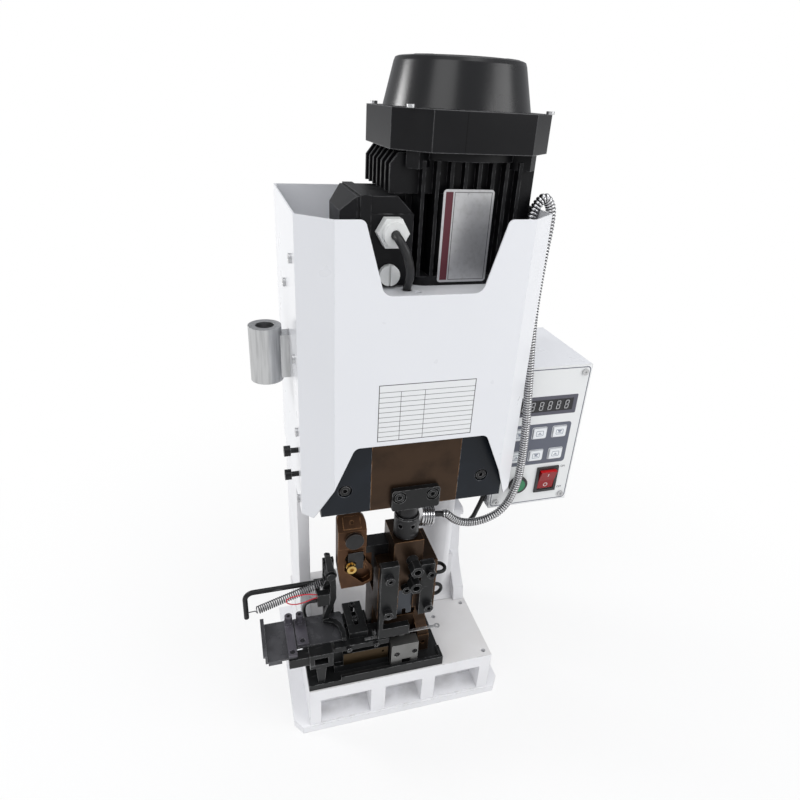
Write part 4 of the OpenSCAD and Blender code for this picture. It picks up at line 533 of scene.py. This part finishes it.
# Zinc plated screws, brackets and strip
# Pan head screws, folded side brackets and the strip of terminals: steel in bright zinc, with a
# slightly milky, cloudy surface and brighter edges.
zinc = Finish("zinc_plate", (0.56, 0.565, 0.57), 0.3, 0.9)
zinc.rounding(0.3)
zinc.grain(zinc.noise(600, 3), 0.03, 0.5)
zinc.over(zinc.noise(80, 4).rise(0.42, 0.75) * 0.6, (0.4, 0.4, 0.41), 0.42)
zinc.over(zinc.edges(0.6).limited() * 0.5, (0.72, 0.72, 0.72), 0.2)
zinc.onto("pan_head_screws", "side_brackets", "terminal_strip")

# Motor
# Ribbed aluminium body, square band and pressed fan cover in satin black paint; a painted
# highlight lightens the corners in patches, and the ribs carry a fine cast grain.


def motor_paint(name, roughness, grain_depth, sheen=0.2):
    finish = Finish(name, (0.004, 0.004, 0.005), roughness, Specular_IOR_Level=sheen)
    finish.rounding(0.8)
    finish.grain(finish.noise(500, 3) + finish.noise(90, 2) * 0.4, grain_depth, 0.6)
    finish.over(finish.noise(22, 4).rise(0.42, 0.78) * 0.7, (0.008, 0.008, 0.009),
                roughness + 0.08)
    # Painted highlight: the corners are a lighter grey, broken up in patches, where the edges
    # catch the light.
    finish.over(finish.edges(1.1).limited() * finish.noise(170, 3).rise(0.36, 0.58) * 0.7,
                (0.14, 0.14, 0.145), 0.3)
    dust = finish.axes(finish.facing)[2].rise(0.5, 0.95) * finish.noise(70, 3).rise(0.35, 0.75)
    finish.over(dust * 0.3, (0.07, 0.07, 0.069), 0.75)
    return finish


motor_paint("motor_body_paint", 0.4, 0.12).onto("motor_body")
band = motor_paint("motor_band_paint", 0.36, 0.06)
x, y, z = band.axes()
band_front = box_mm("motor_band")[0].y
seam, half_seam = 26.55, 0.35
band.over(x.within(seam - half_seam, seam + half_seam, 0.1)
          * (1 - y.past(band_front + 0.75, 0.25)), (0.001, 0.001, 0.001), 0.7)
# Painted highlight: every edge of the band is lightened evenly, where the edges catch the light.
band.over(band.edges(1.2).limited() * 0.8, (0.2, 0.2, 0.205), 0.3)
band.onto("motor_band")
motor_paint("fan_cover_paint", 0.25, 0.03, 0.55).onto("fan_cover")
motor_paint("terminal_box_paint", 0.44, 0.1).onto("terminal_box", "terminal_box_lid")

# Gland, blanking plug and name plate
# The gland and plug are white nylon. The plate is thin brushed aluminium, riveted to the ribs,
# with a dark red strip at its left and a thin printed frame.
nylon = Finish("white_nylon", (0.80, 0.81, 0.80), 0.38)
nylon.rounding(0.5)
nylon.grain(nylon.noise(400, 2), 0.05, 0.4)
nylon.over(nylon.noise(60, 3).rise(0.45, 0.8) * 0.4, (0.66, 0.67, 0.66))
nylon.onto("box_fittings")
plate = Finish("plate_aluminium", (0.60, 0.60, 0.61), 0.32, 0.9)
plate.grain(plate.noise(300, 2, (0.06, 1, 1)), 0.03, 0.6)
plate.over(plate.noise(240, 3).rise(0.4, 0.8) * 0.4, (0.40, 0.40, 0.39), 0.42)
x, y, z = plate.axes()
low, high = box_mm("nameplate")
print_z, frame_x, frame_line = (low.z + 2, high.z - 2), (low.x + 9.7, high.x - 1.9), 0.6
strip = x.within(low.x + 2.1, low.x + 8.5, 0.1) * z.within(*print_z, 0.1)
plate.over(strip, (0.10, 0.012, 0.022), 0.4, 0.0)
inner = (x.within(frame_x[0] + frame_line, frame_x[1] - frame_line, 0.1)
         * z.within(print_z[0] + frame_line, print_z[1] - frame_line, 0.1))
plate.over(x.within(*frame_x, 0.1) * z.within(*print_z, 0.1) * (1 - inner) * 0.8,
           (0.05, 0.05, 0.05), 0.5)
plate.onto("nameplate")

# Drive inside the head
# Turned and ground steel of the rotor and crank, and the bronze worm wheel and bearings, all
# under oil.
steel = Finish("ground_steel", (0.46, 0.46, 0.47), 0.26, 1.0)
steel.rounding(0.3)
steel.grain(steel.noise(380, 2, (1, 1, 0.1)), 0.03, 0.7)
steel.over(steel.noise(50, 4).rise(0.42, 0.75) * 0.6, (0.3, 0.3, 0.31), 0.36)
steel.onto("motor_rotor", "crank_shaft")
bronze = Finish("turned_bronze", (0.55, 0.36, 0.13), 0.28, 1.0)
bronze.rounding(0.3)
bronze.grain(bronze.noise(420, 2), 0.04, 0.6)
bronze.over(bronze.noise(60, 4).rise(0.42, 0.78) * 0.6, (0.3, 0.18, 0.07), 0.4)
bronze.onto("worm_wheel", "shaft_bearings")

# Crimpers and anvil block
# The crimpers are ground tool steel, hard and bluish; the anvil block under them is duller,
# ground along its length and rubbed bright on its edges.
tool_steel = Finish("tool_steel", (0.060, 0.065, 0.074), 0.3, 0.9)
tool_steel.rounding(0.3)
tool_steel.grain(tool_steel.noise(420, 2, (1, 1, 0.1)), 0.03, 0.7)
tool_steel.over(tool_steel.edges(0.6).limited() * 0.8, (0.4, 0.4, 0.41), 0.22)
tool_steel.onto("crimpers")
anvil_steel = Finish("anvil_steel", (0.20, 0.20, 0.195), 0.38, 0.85)
anvil_steel.rounding(0.4)
anvil_steel.grain(anvil_steel.noise(380, 2, (0.1, 1, 1)), 0.04, 0.7)
anvil_steel.over(anvil_steel.noise(50, 4).rise(0.42, 0.75) * 0.6, (0.12, 0.12, 0.115), 0.46)
anvil_steel.over(anvil_steel.edges(0.7).limited() * 0.7, (0.5, 0.5, 0.49), 0.24)
anvil_steel.onto("anvil_block")

# Sleeve of the reel arm
# A turned aluminium tube, brushed along its length and standing beside the cover on its lug.
# The arm of the wire reel slides into its bore.
brushed = Finish("brushed_aluminium", (0.55, 0.555, 0.56), 0.3, 1.0)
brushed.rounding(0.4)
brushed.grain(brushed.noise(420, 3, (3, 3, 0.12)), 0.04, 0.7)
brushed.over(brushed.noise(120, 4, (3, 3, 0.2)).rise(0.4, 0.7) * 0.6, (0.38, 0.385, 0.39), 0.4)
brushed.onto("reel_arm_sleeve")

# Front of the control box
# A white printed film with a thin dark line round it, a blue-grey key field with white frames
# round the keys, a grey frame round the display and the two marks of the switch.
film = Finish("panel_film", (0.80, 0.81, 0.81), 0.4, Coat_Weight=0.2, Coat_Roughness=0.3)
film.rounding(0.3)
film.grain(film.noise(900, 2), 0.03, 0.3)
film.over(film.noise(20, 3).rise(0.4, 0.8) * 0.25, (0.74, 0.75, 0.75))
x, y, z = film.axes()


def rounded_box(u, v, low, high, corner):
    """How far a place is outside a box with round corners, in millimetres."""
    half = [0.5 * (high[i] - low[i]) for i in range(2)]
    across = abs(u - 0.5 * (low[0] + high[0])) - (half[0] - corner)
    along = abs(v - 0.5 * (low[1] + high[1])) - (half[1] - corner)
    a, b = across.most(0.0), along.most(0.0)
    return (a * a + b * b).math("SQRT") + across.most(along).least(0.0) - corner


def inside(distance):
    """1 where a distance is below zero, 0 where it is above."""
    return 1 - distance.past(0)


low, high = box_mm("control_panel")
window_low, window_high = box_mm("display_window")
keys = [f"key_{k}" for k in range(1, 7)]
key_boxes = [box_mm(key) for key in keys]
key_half_x, key_half_z = 8.9, 7.4
border = rounded_box(x, z, (low.x + 1.9, low.z + 2.4), (high.x - 1.9, high.z - 2.4), 4)
film.over(inside(abs(border) - 0.5), (0.045, 0.05, 0.09))
film.over(inside(rounded_box(x, z, (window_low.x - 4.7, window_low.z - 4.2),
                             (window_high.x + 4.7, window_high.z + 4.3), 1.2)),
          (0.075, 0.075, 0.10))
first_key, last_key = key_boxes[0], key_boxes[-1]
film.over(inside(rounded_box(x, z, (first_key[0].x - 4.7, last_key[0].z - 6.3),
                             (last_key[1].x + 6.2, first_key[1].z + 5.5), 4)),
          (0.095, 0.105, 0.14))
for key_low, key_high in key_boxes:
    centre = (key_low + key_high) / 2
    around_key = rounded_box(x, z, (centre.x - key_half_x, centre.z - key_half_z),
                             (centre.x + key_half_x, centre.z + key_half_z), 2)
    film.over(inside(around_key), (0.74, 0.75, 0.76))
    film.over(inside(abs(around_key + 0.9) - 0.25), (0.2, 0.22, 0.27))
film.onto("control_panel")
print_ink = Finish("print_ink", (0.03, 0.032, 0.045), 0.5)
print_ink.over(print_ink.noise(1500, 2).rise(0.45, 0.75) * 0.4, (0.07, 0.072, 0.085))
mark_x, mark_sunk, mark_height, mark_thickness = 192.7, 0.05, 3.6, 0.06
for name, words, mark_z in (("mark_on", "ON", 276.6), ("mark_off", "OFF", 247.8)):
    bpy.ops.object.select_all(action="DESELECT")
    bpy.ops.object.text_add(location=Vector((mark_x, low.y - mark_sunk, mark_z)) * mm,
                            rotation=(radians(90), 0, 0))
    mark = bpy.context.view_layer.objects.active
    mark.name = name
    mark.data.body = words
    mark.data.size = mark_height * mm
    mark.data.extrude = mark_thickness * mm
    bpy.ops.object.convert(target="MESH")
    bpy.ops.object.transform_apply(location=True, rotation=True, scale=True)
    mark = bpy.context.view_layer.objects.active
    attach(mark, "frame")
    print_ink.onto(mark)
    mark.select_set(False)

# Display window
# A smoked acrylic window, set in the panel, with six grey figures of seven segments each
# behind it.
window = Finish("smoked_window", (0.010, 0.010, 0.012), 0.12)
x, y, z = window.axes()
left_gap, right_gap, figures = 5, 0.2, 6
step = (window_high.x - window_low.x - left_gap) / figures
figures_left = window_low.x + left_gap
v = z - (window_low.z + window_high.z) / 2
slant = (x - figures_left).math("MODULO", step) - v * 0.08
segments = ((1.0, 4.6, 4.2, 5.1), (1.0, 4.6, -0.45, 0.45), (1.0, 4.6, -5.1, -4.2),
            (0.5, 1.4, 0.5, 4.4), (4.3, 5.2, 0.5, 4.4), (0.5, 1.4, -4.4, -0.5),
            (4.3, 5.2, -4.4, -0.5))
figure = any_of([slant.within(left, right, 0.1) * v.within(bottom, top, 0.1)
                 for left, right, bottom, top in segments])
window.over(figure * x.within(figures_left, window_high.x - right_gap)
            * (1 - y.past(window_low.y + 0.275, 0.025)), (0.42, 0.42, 0.43), 0.4)
window.onto("display_window")

# Keys
# Domed keys of white film, each pressed by itself, with a framed blue-grey arrow over a bar
# printed on the face.
key_skin = Finish("key_film", (0.82, 0.84, 0.86), 0.42)
key_skin.rounding(0.4)
key_skin.grain(key_skin.noise(800, 2), 0.03, 0.3)
x, y, z = key_skin.axes()
signs = []
for k, (key_low, key_high) in enumerate(key_boxes):
    u, v = x - (key_low.x + key_high.x) / 2, z - (key_low.z + key_high.z) / 2
    signs.append(inside(abs(rounded_box(u, v, (-4.2, -3), (4.2, 3), 0.8)) - 0.3))
    signs.append(u.within(-2.6, 2.6) * v.within(-1.5, -0.8))
    arrow = inside(abs(u) * 1.2 + v * (1 if k % 2 else -1) - 1.4)
    signs.append(arrow * v.within(-0.4, 2.2))
key_skin.over(any_of(signs) * 0.85, (0.10, 0.13, 0.2))
key_skin.onto(*keys)

# Push button, rocker switch and their bezels
# Glossy moulded plastic: a green button, and a red rocker with a ring and a bar moulded in
# white at its two ends.
moulded = Finish("black_plastic", (0.018, 0.018, 0.019), 0.36)
moulded.rounding(0.4)
moulded.grain(moulded.noise(700, 2), 0.05, 0.4)
moulded.over(moulded.noise(90, 3).rise(0.45, 0.75) * 0.5, (0.032, 0.032, 0.033), 0.5)
moulded.onto("switch_bezels")
green = Finish("green_plastic", (0.012, 0.20, 0.075), 0.24, Coat_Weight=0.3)
green.rounding(0.6)
green.over(green.noise(120, 3).rise(0.4, 0.8) * 0.4, (0.02, 0.26, 0.1))
green.grain(green.noise(500, 2), 0.04, 0.3)
green.onto("green_button")
red = Finish("red_plastic", (0.26, 0.003, 0.007), 0.26, Specular_IOR_Level=0.35)
red.rounding(0.5)
red.grain(red.noise(500, 2), 0.04, 0.3)
red.over(red.noise(90, 3).rise(0.4, 0.8) * 0.3, (0.33, 0.006, 0.01))
# Painted highlight: the faces of the rocker that look upwards are a lighter red, as if lit from
# above.
red.over(red.axes(red.facing)[2].rise(0.35, 0.8), (0.55, 0.012, 0.016))
x, y, z = red.axes()
low, high = box_mm("rocker_switch")
u, v = x - (low.x + high.x) / 2, z - (low.z + high.z) / 2
ring_radius, ring_below, bar_ends, white = 2.3, 7.5, (5, 9.5), (0.75, 0.72, 0.7)
in_front = 1 - y.past(high.y - 2.75, 0.25)
red.over(inside(abs(far_from(u, v, (0, -ring_below)) - ring_radius) - 0.35) * in_front, white)
red.over(u.within(-0.4, 0.4) * v.within(*bar_ends) * in_front, white)
red.onto("rocker_switch")

# Lamp
# A small lamp on a flexible metal hose. The hose is a chromed strip wound so that its round
# ridges follow each other along the whole length; the head is turned with cooling rings.
chrome = Finish("chromed_strip", (0.60, 0.60, 0.61), 0.2, 1.0)
chrome.grain(chrome.noise(700, 2), 0.02, 0.5)
# Painted shade: the grooves between the ridges of the hose are darkened where little light
# reaches.
chrome.over(chrome.groove_shade(1.6), (0.03, 0.03, 0.032), 0.5)
chrome.over(chrome.noise(70, 4).rise(0.42, 0.75) * 0.6, (0.36, 0.36, 0.37), 0.32)
hose_line = smooth_route([(99, 16, 517.5), (99, 16, 528), (99, 16, 540), (99, 16, 552),
                          (102, 16, 565), (109.5, 16, 573.5), (117, 16.5, 566), (119, 17, 552),
                          (118.5, 17.5, 530), (118, 18, 500), (118.5, 18.5, 470),
                          (121, 19, 440), (124.5, 19.5, 410), (128, 20, 380), (131, 20, 350),
                          (133, 20, 320), (133.5, 20, 295), (132, 20, 272), (126, 20, 250),
                          (116, 20, 235.5), (102, 20, 228), (86, 20, 225.5), (72, 20, 228),
                          (62, 20, 233.5), (52, 20, 242.8), (47, 20, 243.5)], steps=24)


def even_steps(line, count):
    """The same line with its points at equal distances."""
    total, walked, k, places = length_of(line), 0.0, 0, []
    for i in range(count + 1):
        goal = min(total * i / count, total - 1e-9)
        while walked + (line[k + 1] - line[k]).length < goal:
            walked += (line[k + 1] - line[k]).length
            k += 1
        part = (line[k + 1] - line[k]).length
        places.append(line[k].lerp(line[k + 1], (goal - walked) / part))
    return places


ridges, per_ridge, hose_radius, groove_share = 170, 6, 4.6, 0.70
hose_points = even_steps(hose_line, ridges * per_ridge)
swells = [groove_share + (1 - groove_share) * abs(sin(pi * (i % per_ridge) / per_ridge)) ** 0.5
          for i in range(len(hose_points))]
hose = drawn_round("lamp_hose_ridged", hose_points, hose_radius, swells, sides=4)
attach(hose, "frame")
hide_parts("lamp_hose")
chrome.onto(hose)
lamp_skin = Finish("lamp_metal", (0.56, 0.56, 0.57), 0.24, 1.0)
lamp_skin.rounding(0.3)
lamp_skin.grain(lamp_skin.noise(420, 2), 0.03, 0.5)
x, y, z = lamp_skin.axes()
black_end = 34.6
lamp_skin.over(x.past(black_end, 0.3), (0.02, 0.02, 0.021), 0.4, 0.3)
lamp_skin.over(lamp_skin.noise(90, 3).rise(0.45, 0.75) * 0.4, (0.3, 0.3, 0.31), 0.4)
lamp_skin.onto("lamp_head")

# Feed track, strip guide, feed plate and clamp bars
# Black steel plates of the feed, with a brass wear bar in the track and lighter bars that
# clamp the feed plate.
track = black_oxide("track_black", (0.010, 0.0105, 0.011))
x, y, z = track.axes()
bar_x, bar_y, bar_z = (-67.9, -17.1), (-17.7, -12), (81.1, 97.9)
track.over(x.within(*bar_x, 0.1) * y.within(*bar_y) * z.within(*bar_z, 0.1),
           (0.055, 0.036, 0.018), 0.3, 0.9)
track.onto("feed_track")
sheet_black = black_oxide("feed_sheet", (0.060, 0.060, 0.065), 0.26)
sheet_black.onto("feed_plate")
bars = black_oxide("bar_grey", (0.085, 0.080, 0.095), 0.32, 0.6)
bars.onto("clamp_bars")

# Dial of the ram
# A turned steel dial in black oxide with fine knurling round it. It is turned by hand to set
# the crimp height.
dial = black_oxide("dial_black", (0.011, 0.011, 0.012), 0.3, 1.0)
low, high = box_mm("adjusting_dial")
x, y, z = dial.axes()
round_dial = (y - (low.y + high.y) / 2).math("ARCTAN2", x - (low.x + high.x) / 2)
knurls, knurl_depth, plain_rim = 72.0, 0.3, 1
knurling = (round_dial * knurls).math("SINE") * 0.5 + 0.5
dial.grain(knurling * z.within(low.z + plain_rim, high.z - plain_rim, 0.3), knurl_depth, 0.8)
dial.onto("adjusting_dial")

# Brass knob
# The adjuster of the feed, turned from brass and held in the black holder of the cam. Its
# surface has dulled in patches.
brass = Finish("turned_brass", (0.58, 0.39, 0.13), 0.24, 1.0)
brass.rounding(0.4)
brass.grain(brass.noise(500, 2), 0.04, 0.5)
brass.over(brass.noise(70, 4).rise(0.42, 0.78) * 0.6, (0.34, 0.21, 0.07), 0.36)
brass.onto("brass_knob")

# Feed spring
# An extension spring of oiled spring wire between the bent rod and the feed lever, with a
# hooked eye at each end; it stretches as the lever swings.
start, end = Vector((-158.5, 16.5, 149.5)) * mm, Vector((-81, 15.5, 177)) * mm
eye_start, eye_end = Vector((-163.4, 21.4, 144.5)) * mm, Vector((-80.3, 16.5, 177.8)) * mm
along = (end - start).normalized()
aside = along.cross(Vector((0, 0, 1))).normalized()
above = aside.cross(along)
hook, coil_radius, curls, per_curl = 4 * mm, 3.9 * mm, 32, 18
body_length = (end - start).length - 2 * hook
wire = [eye_start, start + along * 0.4 * hook]
for k in range(curls * per_curl + 1):
    angle = 2 * pi * k / per_curl
    wire.append(start + along * (hook + body_length * k / (curls * per_curl))
                + (aside * cos(angle) + above * sin(angle)) * coil_radius)
wire += [end - along * 0.4 * hook, eye_end]
coil_wire_radius = 0.6
spring = drawn_round("feed_spring_coil", wire, coil_wire_radius, sides=2)
spring_skin = Finish("spring_wire", (0.20, 0.20, 0.21), 0.28, 1.0)
spring_skin.over(spring_skin.noise(90, 4).rise(0.42, 0.72) * 0.7, (0.09, 0.088, 0.085), 0.42)
spring_skin.grain(spring_skin.noise(900, 2), 0.02, 0.5)
# Painted shade: the gaps between the curls of the spring are darkened where little light reaches.
spring_skin.over(spring_skin.groove_shade(3), (0.004, 0.004, 0.004), 0.7)
spring_skin.onto(spring)
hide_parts("feed_spring")
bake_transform(spring)

# Floor and light
# A plain white studio floor that keeps the soft shadow under the machine, three large soft
# boxes, two narrow ones for the metal and a pale surround. Lights: place, aim and size in
# metres, power in watts.
bpy.ops.object.select_all(action="DESELECT")
floor_size = 14
bpy.ops.mesh.primitive_plane_add(size=floor_size, location=(0, 0, 0))
floor = bpy.context.view_layer.objects.active
floor.name = "studio_floor"
ground = Finish("studio_floor", (0.86, 0.86, 0.86), 0.9)
ray = ground.node("ShaderNodeLightPath")
seen = any_of([Amount(ground, ray.outputs[f"Is {kind} Ray"])
               for kind in ("Camera", "Glossy", "Transmission")])
x, y, z = ground.axes()
shadow_radius, open_radius, glow_near = 250, 800, 0.72
away = far_from(x, y, (0, 0)).rise(shadow_radius, open_radius)
glow = ground.node("ShaderNodeEmission", None, {"Color": (1, 1, 1, 1), "Strength": 1.0})
blend = ground.node("ShaderNodeMixShader", None, {
    0: seen * (glow_near + (1 - glow_near) * away), 1: ground.shader.outputs[0],
    2: glow.outputs[0]})
output = next(n for n in ground.tree.nodes if n.type == "OUTPUT_MATERIAL")
ground.tree.links.new(blend.outputs[0], output.inputs["Surface"])
ground.onto(floor)

surround = bpy.data.worlds.new("studio")
surround.use_nodes = True
scene.world = surround
tree = surround.node_tree
background = tree.nodes["Background"]
background.inputs["Color"].default_value = (0.62, 0.63, 0.65, 1)
background.inputs["Strength"].default_value = 0.7
bright_background = tree.nodes.new("ShaderNodeBackground")
bright_background.inputs["Color"].default_value = (1, 1, 1, 1)
ray = tree.nodes.new("ShaderNodeLightPath")
either = tree.nodes.new("ShaderNodeMath")
either.operation = "MAXIMUM"
tree.links.new(ray.outputs["Is Camera Ray"], either.inputs[0])
tree.links.new(ray.outputs["Is Transmission Ray"], either.inputs[1])
chosen = tree.nodes.new("ShaderNodeMixShader")
tree.links.new(either.outputs[0], chosen.inputs[0])
tree.links.new(background.outputs[0], chosen.inputs[1])
tree.links.new(bright_background.outputs[0], chosen.inputs[2])
tree.links.new(chosen.outputs[0], tree.nodes["World Output"].inputs["Surface"])

for name, place, aim, size, power in (
        ("soft_box_left", (-1.3, -1.3, 1.5), (0, 0, 0.3), 1.3, 9),
        ("soft_box_right", (1.5, -0.9, 1.0), (0, 0, 0.35), 1.0, 8),
        ("soft_box_top", (0.2, -0.2, 2.0), (0, 0, 0.4), 1.6, 15),
        ("strip_left", (-1.0, 0.6, 0.85), (0, 0, 0.6), 0.35, 5.5),
        ("strip_right", (0.75, -1.1, 0.95), (0, 0, 0.6), 0.3, 2)):
    lamp = bpy.data.lights.new(name, "AREA")
    lamp.size = size
    lamp.energy = power
    light = bpy.data.objects.new(name, lamp)
    direction = Vector(aim) - Vector(place)
    turn = direction.to_track_quat("-Z", "Y").to_matrix().to_4x4()
    light.matrix_world = Matrix.Translation(place) @ turn
    scene.collection.objects.link(light)
